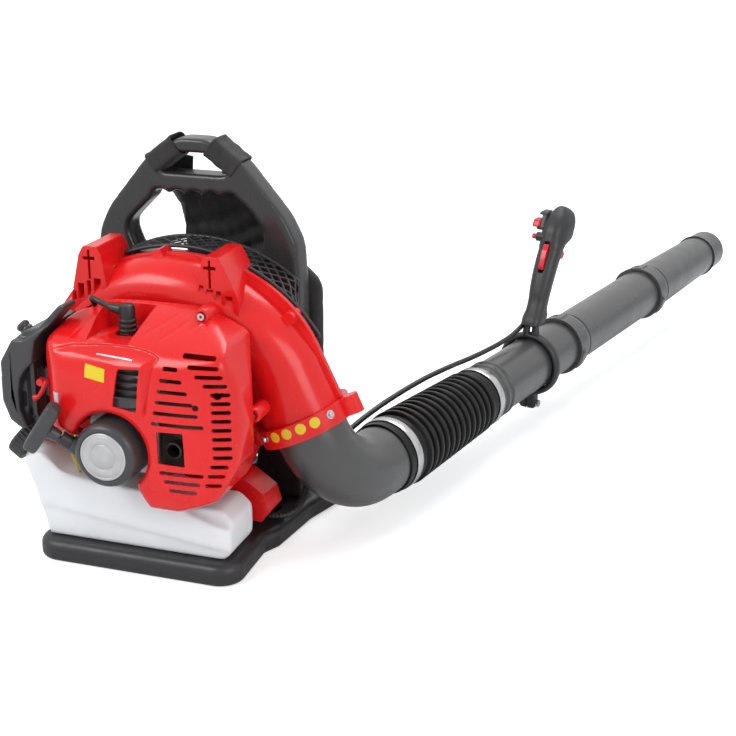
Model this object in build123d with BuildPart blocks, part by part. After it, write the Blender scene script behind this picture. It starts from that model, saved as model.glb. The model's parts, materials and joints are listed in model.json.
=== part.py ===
# Backpack leaf blower: a two-stroke engine drives a fan in a scroll housing (the volute),
# whose outlet feeds an elbow, a bellows and three blow tubes.
# Frame: origin on the floor under the middle of the base, +X to the right of someone who faces
# the engine, +Y towards the wearer's back and on along the blow tubes, +Z up.  Millimetres.
from build123d import *
import os
from math import cos, degrees, radians, sin, tan

os.makedirs("parts", exist_ok=True)

# ---------------------------------------------------------------------- driving dimensions
FAN_X, FAN_Z = -12, 152              # crankshaft line, parallel to Y
FAN_R = 104                          # impeller
CHAMBER_R, CHAMBER_D = 115, 46       # fan chamber in the front half of the volute
TUBE_END_R = 46                      # air passage where the scroll becomes the outlet duct
WALL = 2.5                           # moulded housings

BASE_H = 25                          # foot tray
FRAME_Y, FRAME_T = 62, 36            # front face and thickness of the back frame
FRAME_TOP = 458
SHAFT_R = 6
RUN_GAP = 0.35                       # air left between bodies that turn past each other

OUTLET = Vector(160, 0, 157)         # middle of the outlet collar
OUTLET_DIR = Vector(0.42, 0, -0.9075)
HOSE_DIR = Vector(0.2495, 0.968, 0.0165)
ELBOW_BEND = 75                      # centre-line radius of the elbow
ELBOW_IN, ELBOW_OUT = 20, 36         # straight stretches before and after the bend
ELBOW_R = 42.5
TUBE_R = 37.5                        # blow tubes
HOSE_LEN = 1090                      # elbow's end to nozzle mouth

COLLAR_IN, COLLAR_OUT, COLLAR_HALF = 49.3, 56, 11

COVER_SCREWS = ((132, -88, 190), (74, -84, 296))
GUIDE = Vector(-59, -150, 158)       # where the starter rope leaves its housing
PULL = Vector(-0.795, -0.294, 0.53).normalized()
COVER_BACK, COVER_FRONT = 58, 148    # engine cover, as distances in front of Y = 0


# ---------------------------------------------------------------------- frames and helpers
def fan_plane(y):
    """Plane across the crankshaft at height y, X right, Y up, facing the front."""
    return Plane(origin=(FAN_X, y, FAN_Z), x_dir=(1, 0, 0), z_dir=(0, -1, 0))


def front(y):
    """Plane facing the front at height y, with sketch coordinates (x, z)."""
    return Plane(origin=(0, y, 0), x_dir=(1, 0, 0), z_dir=(0, -1, 0))


def save(piece, name):
    """Label a finished piece and write its STEP file."""
    piece.part.label = name
    export_step(piece.part, f"parts/{name}.step")


BEND_TANGENT = ELBOW_BEND * tan(radians(OUTLET_DIR.get_angle(HOSE_DIR)) / 2)
ELBOW_CORNER = OUTLET + OUTLET_DIR * (ELBOW_IN + BEND_TANGENT)
HOSE_START = ELBOW_CORNER + HOSE_DIR * (BEND_TANGENT + ELBOW_OUT)
HOSE_LEFT = Vector(-0.968, 0.2495, 0)
HOSE = Plane(origin=HOSE_START, x_dir=HOSE_LEFT, z_dir=HOSE_DIR)         # across the hose
HOSE_AXIS = Axis(HOSE_START, HOSE_DIR)
HOSE_SIDE = Plane(origin=HOSE_START, x_dir=HOSE_LEFT, z_dir=HOSE_LEFT.cross(HOSE_DIR))
CABLE_R = 3.4
CABLE_AT = (12, 58, 390)             # left of, above and along the hose: where the cable meets the handle


def by_hose(left, up, station):
    """Point beside the hose: offsets to its left and above it at a station."""
    return HOSE_START + HOSE_LEFT * left + HOSE.y_dir * up + HOSE_DIR * station


OUTLET_PLANE = Plane(origin=OUTLET, x_dir=(0, 1, 0), z_dir=OUTLET_DIR)


def turned(profile):
    """A closed (radius, station) profile turned round the hose's axis."""
    with BuildPart() as piece:
        with BuildSketch(HOSE_SIDE):
            with BuildLine():
                Polyline(*profile, close=True)
            make_face()
        revolve(axis=HOSE_AXIS)
    return piece


def rounded(points, radius):
    """A closed outline drawn in the current line context, every corner rounded."""
    return FilletPolyline(*points, radius=radius, close=True)


# ---------------------------------------------------------------------- base and back frame
right_side = [(127, -137), (124, -44), (134, -22), (143, 58), (160, 118), (150, 150)]
with BuildSketch() as footprint:
    with BuildLine():
        FilletPolyline(*right_side, *[(-x, y) for x, y in reversed(right_side)], close=True,
                       radius=[28, 12, 12, 40, 12, 12, 12, 12, 40, 12, 12, 28])
    make_face()

with BuildPart() as base_frame:
    extrude(footprint.sketch, amount=BASE_H)
    fillet(base_frame.faces().sort_by(Axis.Z)[-1].edges(), radius=10)
    fillet(base_frame.faces().sort_by(Axis.Z)[0].edges(), radius=6)
    with BuildSketch(Plane.XY.offset(9)):
        with BuildLine():
            rounded([(98, -112), (100, -20), (120, 40), (-120, 40), (-100, -20), (-98, -112)], 11)
        make_face()
    extrude(amount=BASE_H, mode=Mode.SUBTRACT)
save(base_frame, "base_frame")

frame_side = [(20, FRAME_TOP), (60, 434), (112, 372), (127, 342), (131, 290), (131, BASE_H)]
with BuildPart() as back_frame:
    with BuildSketch(front(FRAME_Y)):
        with BuildLine():
            rounded(frame_side + [(-x, z) for x, z in reversed(frame_side)], 9)
        make_face()
    extrude(amount=-FRAME_T)
    with BuildSketch(front(FRAME_Y)):
        with BuildLine():
            rounded([(-48, 417), (48, 417), (22, 441), (-22, 441)], 7)
        make_face()
        with BuildLine():
            rounded([(-52, 389), (60, 389), (88, 352), (78, 318), (-78, 318), (-90, 352)], 14)
        make_face()
        with BuildLine():
            rounded([(-70, 284), (70, 284), (70, 60), (-70, 60)], 18)
        make_face()
    extrude(amount=-FRAME_T, mode=Mode.SUBTRACT)
    for face in (back_frame.faces().sort_by(Axis.Y)[0], back_frame.faces().sort_by(Axis.Y)[-1]):
        fillet(face.outer_wire().edges(), radius=7)
    for face in (back_frame.faces().sort_by(Axis.Y)[0], back_frame.faces().sort_by(Axis.Y)[-1]):
        fillet(face.inner_wires().edges(), radius=4)
    with BuildSketch(front(FRAME_Y - 1)):
        with Locations(*[(x, 388) for x in range(-46, 60, 22)]):
            Circle(11)
    extrude(amount=-FRAME_T - 2, mode=Mode.SUBTRACT)
save(back_frame, "back_frame")

# ---------------------------------------------------------------------- harness
with BuildPart() as back_pad:
    with BuildSketch(front(FRAME_Y + FRAME_T + 0.3)):
        with BuildLine():
            rounded([(148, 150), (148, 318), (112, 352), (-112, 352), (-148, 318), (-148, 150)], 20)
        make_face()
    extrude(amount=-24)
    fillet(back_pad.faces().sort_by(Axis.Y)[-1].edges(), radius=9)
save(back_pad, "back_pad")

STRAP_X = 52                         # shoulder straps, each side of the spine
for name, side in (("shoulder_pad_left", -1), ("shoulder_pad_right", 1)):
    with BuildPart() as pad:
        with BuildSketch(Plane.YZ.offset(side * STRAP_X)):
            with BuildLine():
                rounded([(104, 404), (104, 390), (142, 352), (176, 300), (176, 210), (150, 150),
                         (162, 144), (190, 206), (190, 304), (158, 364)], 5)
            make_face()
        extrude(amount=29, both=True)
        fillet(pad.faces().filter_by(Axis.X).edges(), radius=3)
    save(pad, name)

with BuildPart() as strap_loops:
    for side in (-1, 1):
        with BuildSketch(Plane.YZ.offset(side * STRAP_X)):
            with BuildLine():
                rounded([(150.3, 149.7), (124, 120), (99, 60), (101, 59), (126, 118), (152.3, 148.7)], 0.6)
            make_face()
        extrude(amount=14, both=True)
save(strap_loops, "strap_loops")

# ---------------------------------------------------------------------- volute
SCROLL_FROM, SCROLL_TO = 40, 295     # clockwise from the tongue, seen from the front
TONGUE = -40                         # degrees above +X


def scroll_r(turn):
    """Outer radius of the scroll: it opens evenly from the tongue to the outlet."""
    return 112 + 0.32 * turn


def passage_r(turn):
    """Radius of the round air passage inside the scroll's outer wall."""
    return 20 + (TUBE_END_R - 20) * (turn - SCROLL_FROM) / (SCROLL_TO - SCROLL_FROM)


def round_fan(radius, turn):
    """(x, z) of a point at this radius and clockwise turn."""
    angle = radians(TONGUE - turn)
    return FAN_X + radius * cos(angle), FAN_Z + radius * sin(angle)


END_X, END_Z = round_fan(scroll_r(SCROLL_TO) - TUBE_END_R, SCROLL_TO)
DUCT_TOP = Vector(END_X, 0, END_Z)
DUCT_DIR = (OUTLET - DUCT_TOP).normalized()
DUCT_LEN = (OUTLET - DUCT_TOP).length
DUCT_START = Plane(origin=DUCT_TOP, x_dir=(-DUCT_DIR.Z, 0, DUCT_DIR.X), z_dir=DUCT_DIR)


def add_duct(inset):
    """The straight duct from the end of the spiral to just short of the outlet."""
    with BuildSketch(DUCT_START) as begin:
        Circle(TUBE_END_R - inset)
    with BuildSketch(DUCT_START.offset(DUCT_LEN - 2)) as end:
        Circle(TUBE_END_R + 3 - inset)
    add(Solid.make_loft([begin.sketch.wires()[0], end.sketch.wires()[0]]))


def scroll_solid(inset):
    """The air passage drawn in by inset: round sections lofted along the spiral, then the duct."""
    with BuildPart() as snail:
        for turn in range(SCROLL_FROM, SCROLL_TO, 51):
            angle = radians(TONGUE - turn)
            with BuildSketch(Plane(origin=(FAN_X, 0, FAN_Z), x_dir=(cos(angle), 0, sin(angle)),
                                   z_dir=(sin(angle), 0, -cos(angle)))):
                with Locations((scroll_r(turn) - passage_r(turn), 0)):
                    Ellipse(passage_r(turn) - inset, CHAMBER_D - inset)
        with BuildSketch(DUCT_START):
            Circle(TUBE_END_R - inset)
        loft()
        add_duct(inset)
    return snail


def flange_sketch(lip):
    """Seam flange: the scroll's outline and the duct's, carried out by lip."""
    spiral = [round_fan(scroll_r(turn) + lip, turn) for turn in range(SCROLL_FROM, SCROLL_TO + 1, 51)]
    out = Vector(-DUCT_DIR.Z, 0, DUCT_DIR.X)
    far = DUCT_TOP + DUCT_DIR * (DUCT_LEN - 12) + out * (TUBE_END_R + 3 + lip)
    near = DUCT_TOP + DUCT_DIR * (DUCT_LEN - 12) - out * (TUBE_END_R + 3 + lip)
    tongue = DUCT_TOP - out * TUBE_END_R
    with BuildLine() as outline:
        Spline(*spiral)
        Polyline(spiral[-1], (far.X, far.Z), (near.X, near.Z), (tongue.X, tongue.Z), spiral[0])
    return outline


def add_lugs(depth, recess_d=0):
    """The two lugs that stand on the scroll and the two clips on its seam, this deep in Y.

    Each lug's front is recessed by recess_d between its ribs."""
    for outline, recesses in LUGS:
        with BuildSketch(front(0)) as face:
            with BuildLine():
                rounded(outline, 4)
            make_face()
        extrude(face.sketch, amount=depth - recess_d)
        with BuildSketch(front(0)) as ribs:
            add(face.sketch)
            for x, z, width, height in recesses if recess_d else ():
                with Locations((x, z)):
                    Rectangle(width, height, mode=Mode.SUBTRACT)
        extrude(ribs.sketch, amount=depth)
    for turn in CLIP_TURNS:
        with BuildSketch(front(0)) as face:
            with Locations(round_fan(scroll_r(turn), turn)):
                Circle(CLIP_R)
        extrude(face.sketch, amount=max(-PLATE_D, min(PLATE_D, depth)))


def cut_collar_seat():
    """Room for the outlet collar round the duct's end."""
    with BuildSketch(OUTLET_PLANE.offset(-COLLAR_HALF - RUN_GAP)) as seat:
        Circle(COLLAR_OUT + 3)
        with Locations((0, -COLLAR_OUT - 3)):
            SlotOverall(28, 18, rotation=90)
        Circle(COLLAR_IN - 0.05, mode=Mode.SUBTRACT)
    extrude(seat.sketch, amount=2 * COLLAR_HALF + 12, mode=Mode.SUBTRACT)


# each lug: its outline, then (x, z, width, height) of the recesses in its front
LUGS = (([(-116, 258), (-96, 340), (-90, 350), (-73, 350), (-68, 340), (-64, 312), (-56, 270)],
         [(-83.5, 329, 3, 34), (-83.5, 336, 15, 4), (-104.5, 292, 5, 14), (-95.5, 297, 8, 18),
          (-85, 301, 5, 18), (-74.5, 303, 9, 20)]),
        ([(46, 290), (54, 338), (58, 350), (76, 350), (82, 340), (100, 302), (96, 270)],
         [(65, 330, 3, 32), (65, 337, 15, 4), (54.5, 306, 5, 22), (64.5, 303, 8, 20),
          (75, 302, 6, 20), (87, 298, 9, 18)]))
LUG_FRONT, LUG_REAR = 41, 22
LUG_RECESS = 20
PLATE_D = 12                         # depth of the rear shell's plate
CLIP_TURNS, CLIP_R = (230, 281), 7

with BuildPart() as volute_front:
    add(scroll_solid(0).part)
    with BuildSketch(fan_plane(0)):
        Circle(CHAMBER_R)
    extrude(amount=CHAMBER_D, taper=6)
    split(bisect_by=front(0), keep=Keep.TOP)
    with BuildSketch(front(0)):
        with BuildLine():
            add(flange_sketch(4).line)
        make_face()
    extrude(amount=3)
    with BuildSketch(fan_plane(0)):
        Circle(CHAMBER_R + 4)
    extrude(amount=3)
    add_lugs(LUG_FRONT, LUG_RECESS)
    with BuildSketch(front(-38)):
        with BuildLine():
            rounded([(48, 31), (90, 31), (104, 38), (118, 38), (128, 52), (122, 72), (96, 90), (48, 94)], 5)
        make_face()
    extrude(amount=-38)
    with BuildSketch(front(-38)):
        with BuildLine():
            rounded([(-48, 31), (-110, 31), (-124, 46), (-118, 78), (-48, 94)], 8)
        make_face()
    extrude(amount=-38)
    add(scroll_solid(WALL).part, mode=Mode.SUBTRACT)
    with BuildSketch(fan_plane(0)):
        Circle(CHAMBER_R - WALL)
    extrude(amount=CHAMBER_D - WALL, taper=6, mode=Mode.SUBTRACT)
    with BuildSketch(fan_plane(-CHAMBER_D - 1)):
        Circle(14)
    extrude(amount=-8, mode=Mode.SUBTRACT)
    cut_collar_seat()
save(volute_front, "volute_front")


def rear_passage(inset):
    """Where the rear shell bulges out from the flat plate to make the duct round."""
    with BuildPart() as bulge:
        for turn, radius in ((193, 16), (244, 34)):
            angle = radians(TONGUE - turn)
            with BuildSketch(Plane(origin=(FAN_X, 0, FAN_Z), x_dir=(cos(angle), 0, sin(angle)),
                                   z_dir=(sin(angle), 0, -cos(angle)))):
                with Locations((scroll_r(turn) - radius, 0)):
                    Circle(radius - inset)
        with BuildSketch(DUCT_START):
            Circle(TUBE_END_R - inset)
        loft()
        add_duct(inset)
    return bulge


EYE_R = 60                           # air intake in the rear shell
with BuildPart() as volute_rear:
    for lip, depth in ((4, 3), (0, PLATE_D)):
        with BuildSketch(front(0)):
            with BuildLine():
                add(flange_sketch(lip).line)
            make_face()
        extrude(amount=-depth)
        with BuildSketch(fan_plane(0)):
            Circle(CHAMBER_R + lip)
        extrude(amount=-depth)
    add(rear_passage(0).part)
    with BuildSketch(front(0)):
        with BuildLine():
            add(flange_sketch(-WALL).line)
        make_face()
    extrude(amount=-PLATE_D + WALL, mode=Mode.SUBTRACT)
    with BuildSketch(fan_plane(0)):
        Circle(CHAMBER_R - WALL)
    extrude(amount=-PLATE_D + WALL, mode=Mode.SUBTRACT)
    add(rear_passage(WALL).part, mode=Mode.SUBTRACT)
    add_lugs(-LUG_REAR)
    add(rear_passage(WALL).part, mode=Mode.SUBTRACT)
    split(bisect_by=front(0), keep=Keep.BOTTOM)
    with BuildSketch(fan_plane(PLATE_D)):
        Circle(EYE_R + 4)
    extrude(amount=-8)
    with BuildSketch(fan_plane(0)):
        Circle(EYE_R)
    extrude(amount=-40, mode=Mode.SUBTRACT)
    cut_collar_seat()
save(volute_rear, "volute_rear")

# intake screen: a lattice band between the rear shell and the back frame
SCREEN_Y0, SCREEN_Y1 = PLATE_D, FRAME_Y
SCREEN_T = 3
with BuildPart() as intake_screen:
    with BuildSketch(front(SCREEN_Y0)):
        with BuildLine():
            out_line = Spline(*[round_fan(scroll_r(turn) + 9, turn) for turn in range(91, 296, 51)])
            in_line = Spline(*[round_fan(scroll_r(turn) + 9 - SCREEN_T, turn) for turn in range(91, 296, 51)])
            Line(out_line @ 0, in_line @ 0)
            Line(out_line @ 1, in_line @ 1)
        make_face()
    extrude(amount=SCREEN_Y0 - SCREEN_Y1)
    for row, y in enumerate((22, 34, 46)):
        for step in range(19):
            turn = 110 + 9.6 * step + 4.8 * (row % 2)
            angle = radians(TONGUE - turn)
            with BuildSketch(Plane(origin=(FAN_X + 130 * cos(angle), y, FAN_Z + 130 * sin(angle)),
                                   x_dir=(0, 1, 0), z_dir=(cos(angle), 0, sin(angle)))):
                with BuildLine():
                    Polyline((-9.5, 0), (0, -11.5), (9.5, 0), (0, 11.5), close=True)
                make_face()
            extrude(amount=110, mode=Mode.SUBTRACT)
    for outline, _ in LUGS:
        with BuildSketch(front(0)):
            with BuildLine():
                Polyline(*outline, close=True)
            make_face()
            offset(amount=0.3)
        extrude(amount=-LUG_REAR - 0.3, mode=Mode.SUBTRACT)
save(intake_screen, "intake_screen")

# ---------------------------------------------------------------------- outlet, elbow, bellows
with BuildPart() as outlet_collar:
    with BuildSketch(OUTLET_PLANE.offset(-COLLAR_HALF)):
        Circle(COLLAR_OUT)
        with Locations((0, -COLLAR_OUT - 3), (0, COLLAR_OUT + 3)):
            SlotOverall(26, 16, rotation=90)
    extrude(amount=2 * COLLAR_HALF)
    with BuildSketch(OUTLET_PLANE.offset(-COLLAR_HALF)):
        Circle(COLLAR_IN)
    extrude(amount=2 * COLLAR_HALF - 5, mode=Mode.SUBTRACT)
    with BuildSketch(OUTLET_PLANE.offset(-COLLAR_HALF)):
        Circle(ELBOW_R + 0.6)
    extrude(amount=2 * COLLAR_HALF, mode=Mode.SUBTRACT)
save(outlet_collar, "outlet_collar")


def elbow_solid(radius):
    """The elbow's round bar of this radius, from the outlet to the start of the hose."""
    with BuildPart() as bar:
        with BuildLine():
            FilletPolyline(OUTLET, ELBOW_CORNER, HOSE_START, radius=ELBOW_BEND)
        with BuildSketch(OUTLET_PLANE):
            Circle(radius)
        sweep()
    return bar


with BuildPart() as elbow:
    add(elbow_solid(ELBOW_R).part)
    with BuildSketch(OUTLET_PLANE):
        Circle(COLLAR_IN - RUN_GAP)
    extrude(amount=5)
    add(elbow_solid(ELBOW_R - WALL).part, mode=Mode.SUBTRACT)
    with BuildSketch(OUTLET_PLANE):
        Circle(ELBOW_R - WALL)
    extrude(amount=5, mode=Mode.SUBTRACT)
save(elbow, "elbow")

RIDGES, RIDGE_FROM, RIDGE_TO = 13, 24, 206
BELLOWS_END = 236
pitch = (RIDGE_TO - RIDGE_FROM) / RIDGES
crest, trough = [], []
for i in range(RIDGES):
    start = RIDGE_FROM + i * pitch
    radius = 48.5 - 5.5 * i / (RIDGES - 1)
    crest += [(radius - 4.5, start), (radius, start + 0.3 * pitch), (radius, start + 0.6 * pitch),
              (radius - 4.5, start + 0.9 * pitch)]
    trough += [(radius - 6.2, start), (radius - 1.7, start + 0.35 * pitch),
               (radius - 1.7, start + 0.55 * pitch), (radius - 6.2, start + 0.9 * pitch)]
bellows = turned([(ELBOW_R, -12), (ELBOW_R + 2.4, -12), (ELBOW_R + 2.4, RIDGE_FROM - 3)] + crest
                 + [(TUBE_R + 2.6, RIDGE_TO + 2), (TUBE_R + 2.6, BELLOWS_END),
                    (TUBE_R + 0.3, BELLOWS_END), (TUBE_R + 0.3, RIDGE_TO + 5)] + trough[::-1] + [(ELBOW_R, RIDGE_FROM - 5)])
save(bellows, "bellows")


def hose_clamp(radius, station):
    """Worm-drive band round a cuff of this radius, with its screw housing on top."""
    band = turned([(radius, station - 6), (radius + 1.2, station - 6), (radius + 1.2, station + 6),
                   (radius, station + 6)])
    with BuildPart() as clamp:
        add(band.part)
        with BuildSketch(HOSE.offset(station - 5)):
            with Locations((-0.6 * radius, -0.8 * radius - 3.5)):
                Rectangle(14, 7)
            Circle(radius + 0.2, mode=Mode.SUBTRACT)
        extrude(amount=10)
    return clamp


save(hose_clamp(ELBOW_R + 2.4, 7), "hose_clamp_near")
save(hose_clamp(TUBE_R + 2.6, 226), "hose_clamp_far")

# ---------------------------------------------------------------------- blow tubes
T_WALL = 1.6
JOINT_1, JOINT_2 = 500, 806          # where a tube ends inside the next one's socket
SOCKET_R = TUBE_R + RUN_GAP
SOCKET_LEN = 30
PIN_R = 3


def bead(station):
    """Half-round rib round a tube, as profile points."""
    return [(TUBE_R, station - 4), (TUBE_R + 2.4, station - 1.8), (TUBE_R + 2.4, station + 1.8),
            (TUBE_R, station + 4)]


def add_pins(station):
    """Two bayonet pins on the current tube."""
    for side in (-1, 1):
        with BuildSketch(Plane(origin=HOSE_START + HOSE_DIR * station, x_dir=HOSE_DIR,
                               z_dir=HOSE.y_dir * side).offset(TUBE_R - 0.6)) as pin:
            Circle(PIN_R)
        extrude(pin.sketch, amount=4)


def socket(station):
    """Outline of a bayonet socket that starts before this station, (radius, station) points."""
    return [(SOCKET_R, station - SOCKET_LEN), (SOCKET_R + 4, station - SOCKET_LEN),
            (SOCKET_R + 4, station - 4), (SOCKET_R + 2.2, station + 2), (TUBE_R, station + 10)]


def cut_pin_slots(station):
    """Entry and turning slots for the pins, through the current socket's wall."""
    for side in (-1, 1):
        with BuildSketch(HOSE.offset(station - 10 - PIN_R - 0.5)) as slot:
            with BuildLine():
                Polyline((0, 0), (-side * 8, side * 60), (side * 34, side * 60), close=True)
            make_face()
        extrude(slot.sketch, amount=2 * PIN_R + 1, mode=Mode.SUBTRACT)


swivel = turned([(TUBE_R - T_WALL, 212), (TUBE_R, 212)] + bead(250) + bead(264)
                + [(TUBE_R, JOINT_1), (TUBE_R - T_WALL, JOINT_1)])
with BuildPart() as swivel_tube:
    add(swivel.part)
    add_pins(JOINT_1 - 10)
save(swivel_tube, "swivel_tube")

middle = turned(socket(JOINT_1) + [(TUBE_R, JOINT_2), (TUBE_R - T_WALL, JOINT_2),
                                   (TUBE_R - T_WALL, JOINT_1 + 8), (SOCKET_R, JOINT_1 + 1)])
with BuildPart() as middle_tube:
    add(middle.part)
    cut_pin_slots(JOINT_1)
    add_pins(JOINT_2 - 10)
save(middle_tube, "middle_tube")

TIP_R, TIP_LEN = 34, 40              # straight end that attachments slide over
nozzle = turned(socket(JOINT_2) + [(TIP_R, HOSE_LEN - TIP_LEN), (TIP_R, HOSE_LEN),
                                   (TIP_R - T_WALL, HOSE_LEN), (TIP_R - T_WALL, HOSE_LEN - TIP_LEN),
                                   (TUBE_R - T_WALL, JOINT_2 + 8), (SOCKET_R, JOINT_2 + 1)])
with BuildPart() as nozzle_tube:
    add(nozzle.part)
    cut_pin_slots(JOINT_2)
save(nozzle_tube, "nozzle_tube")

# ---------------------------------------------------------------------- control handle
GRIP_AT = 385                        # handle's place along the hose
RING_R = TUBE_R + 9
with BuildPart() as handle_clamp:
    add(turned([(TUBE_R + 0.1, GRIP_AT - 7), (RING_R, GRIP_AT - 7), (RING_R, GRIP_AT + 7),
                (TUBE_R + 0.1, GRIP_AT + 7)]).part)
    fillet(handle_clamp.edges().filter_by(GeomType.CIRCLE).group_by(SortBy.RADIUS)[-1], radius=3.5)
    with BuildSketch(HOSE.offset(GRIP_AT - 7)):
        with Locations((0, -RING_R - 8)):
            RectangleRounded(26, 24, 4)
        with Locations((0, RING_R + 7)):
            Rectangle(15, 22)
        Circle(TUBE_R + 0.1, mode=Mode.SUBTRACT)
    extrude(amount=14)
    with BuildSketch(HOSE.offset(GRIP_AT - 7)):
        with Locations((0, -RING_R - 8)):
            Rectangle(3, 30)
    extrude(amount=14, mode=Mode.SUBTRACT)
save(handle_clamp, "handle_clamp")

with BuildPart() as clamp_bolt:
    with BuildSketch(Plane(origin=HOSE_START + HOSE_DIR * GRIP_AT - HOSE.y_dir * (RING_R + 12),
                           x_dir=HOSE_DIR, z_dir=HOSE_LEFT).offset(-13)):
        RegularPolygon(5, 6)
    extrude(amount=-4)
    with BuildSketch(Plane(origin=HOSE_START + HOSE_DIR * GRIP_AT - HOSE.y_dir * (RING_R + 12),
                           x_dir=HOSE_DIR, z_dir=HOSE_LEFT).offset(13)):
        Circle(5.5)
    extrude(amount=3)
save(clamp_bolt, "clamp_bolt")

GRIP = Plane(origin=HOSE_START + HOSE_DIR * GRIP_AT + HOSE.y_dir * (RING_R + 12),
             x_dir=HOSE_DIR, z_dir=-HOSE_LEFT)
LEAN = tan(radians(26))
HALF_T = 16                          # half thickness of the grip


def spine(up, off=0):
    """Point of the grip's side view, off ahead of its leaning centre line."""
    return (LEAN * (up + 12) + off, up)


grip_outline = [spine(-1, -15), spine(34, -13), spine(80, -15), spine(120, -17), spine(158, -20),
                spine(180, -16), spine(192, -2), spine(186, 18), spine(160, 28), spine(128, 30),
                spine(122, 16), spine(70, 13), spine(26, 15), spine(-1, 17)]


def grip_half(side):
    """One moulded half of the control handle, with its share of the control pockets."""
    with BuildPart() as half:
        with BuildSketch(GRIP):
            with BuildLine():
                rounded(grip_outline, 5)
            make_face()
        extrude(amount=side * HALF_T)
        fillet(half.faces().sort_by(Axis(GRIP.origin, GRIP.z_dir * side))[-1].edges(), radius=8)
        with BuildSketch(GRIP):
            with BuildLine():
                Polyline(spine(74, 8), spine(74, 40), spine(116, 40), spine(116, 4), close=True)
            make_face()
            with BuildLine():
                Polyline(spine(86, -30), spine(86, -9), spine(136, -9), spine(136, -30), close=True)
            make_face()
        extrude(amount=side * 5, mode=Mode.SUBTRACT)
        with BuildSketch(GRIP):
            with Locations((0, 0)):
                Rectangle(14.2, 13)
        extrude(amount=side * 7.6, mode=Mode.SUBTRACT)
    return half


save(grip_half(1), "handle_shell_right")
with BuildPart() as handle_shell_left:
    add(grip_half(-1).part)
    with BuildSketch(GRIP.offset(-HALF_T)):
        with Locations(spine(160, -8)):
            Rectangle(20, 34)
    extrude(amount=-8)
    with BuildSketch(GRIP.offset(-HALF_T)):
        with Locations(spine(132, -9)):
            Circle(7)
    extrude(amount=-4)
    with BuildSketch(GRIP.offset(-HALF_T - 8)):
        with Locations(spine(160, -8)):
            Rectangle(13, 24)
    extrude(amount=6, mode=Mode.SUBTRACT)
    with BuildSketch(GRIP.offset(-HALF_T - 4)):
        with Locations(spine(132, -9)):
            Circle(4.4)
    extrude(amount=13, mode=Mode.SUBTRACT)
    with BuildSketch(Plane(origin=by_hose(*CABLE_AT), z_dir=by_hose(12, 50, 362) - by_hose(*CABLE_AT))):
        Circle(CABLE_R + 0.5)
    extrude(amount=20, both=True, mode=Mode.SUBTRACT)
save(handle_shell_left, "handle_shell_left")

with BuildPart() as trigger:
    with BuildSketch(GRIP):
        with BuildLine():
            rounded([spine(112, 9), spine(110, 17), spine(92, 24), spine(78, 26), spine(80, 13)], 2)
        make_face()
    extrude(amount=4.5, both=True)
save(trigger, "trigger")

with BuildPart() as lockout_lever:
    with BuildSketch(GRIP):
        with BuildLine():
            rounded([spine(131, -11), spine(132, -20), spine(112, -21), spine(90, -18), spine(91, -11)], 2)
        make_face()
    extrude(amount=4.5, both=True)
save(lockout_lever, "lockout_lever")

with BuildPart() as stop_switch:
    with BuildSketch(GRIP.offset(-HALF_T - 2.4)):
        with Locations(Vector(*spine(160, -8)) - Vector(0, 4)):
            Rectangle(12, 15)
    extrude(amount=-9)
save(stop_switch, "stop_switch")

with BuildPart() as idle_button:
    with BuildSketch(GRIP.offset(-HALF_T + 3)):
        with Locations(spine(132, -9)):
            Circle(4)
    extrude(amount=-14)
save(idle_button, "idle_button")

# ---------------------------------------------------------------------- engine
with BuildPart() as crankcase:
    with BuildSketch(fan_plane(-CHAMBER_D)):
        RectangleRounded(88, 78, 16)
    extrude(amount=66)
    fillet(crankcase.faces().sort_by(Axis.Y)[0].edges(), radius=5)
    with BuildSketch(fan_plane(-CHAMBER_D)):
        Circle(SHAFT_R + RUN_GAP)
    extrude(amount=70, mode=Mode.SUBTRACT)
save(crankcase, "crankcase")

with BuildPart() as crankshaft:
    with BuildSketch(fan_plane(-4)):
        Circle(SHAFT_R)
    extrude(amount=126)
save(crankshaft, "crankshaft")

with BuildPart() as fan_impeller:
    with BuildSketch(fan_plane(-41)):
        Circle(FAN_R)
    extrude(amount=-3)
    with BuildSketch(fan_plane(-38)):
        Circle(24)
    extrude(amount=-30, taper=12)
    with BuildSketch(fan_plane(-38.2)):
        with PolarLocations(0, 14):
            with BuildLine():
                blade = ThreePointArc((22, 0), (68, 14), (FAN_R - 1, -6))
                Line(blade @ 1, blade @ 1 + (1.6, 1.6))
                ThreePointArc(blade @ 1 + (1.6, 1.6), (68, 16.2), (22, 2.2))
                Line((22, 2.2), blade @ 0)
            make_face()
    extrude(amount=-27)
    with BuildSketch(fan_plane(-45)):
        Circle(SHAFT_R)
    extrude(amount=-60, mode=Mode.SUBTRACT)
save(fan_impeller, "fan_impeller")

with BuildPart() as flywheel:
    with BuildSketch(fan_plane(-117)):
        Circle(32.5)
        Circle(SHAFT_R, mode=Mode.SUBTRACT)
    extrude(amount=8)
    with BuildSketch(fan_plane(-125)):
        with PolarLocations(23, 12):
            Rectangle(16, 2)
    extrude(amount=8)
save(flywheel, "flywheel")

ENGINE_Y = -90
with BuildPart() as cylinder:
    with BuildSketch(Plane.XY.offset(FAN_Z + 39)):
        with Locations((FAN_X, ENGINE_Y)):
            Circle(24)
    extrude(amount=74)
    for i in range(7):
        with BuildSketch(Plane.XY.offset(FAN_Z + 52 + 9 * i)):
            with Locations((FAN_X, ENGINE_Y)):
                RectangleRounded(70, 62, 12)
        extrude(amount=2.4)
    with BuildSketch(Plane.YZ.offset(FAN_X)):
        with Locations((ENGINE_Y, FAN_Z + 56)):
            RectangleRounded(34, 26, 4)
    extrude(amount=46, both=True)
save(cylinder, "cylinder")

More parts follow.
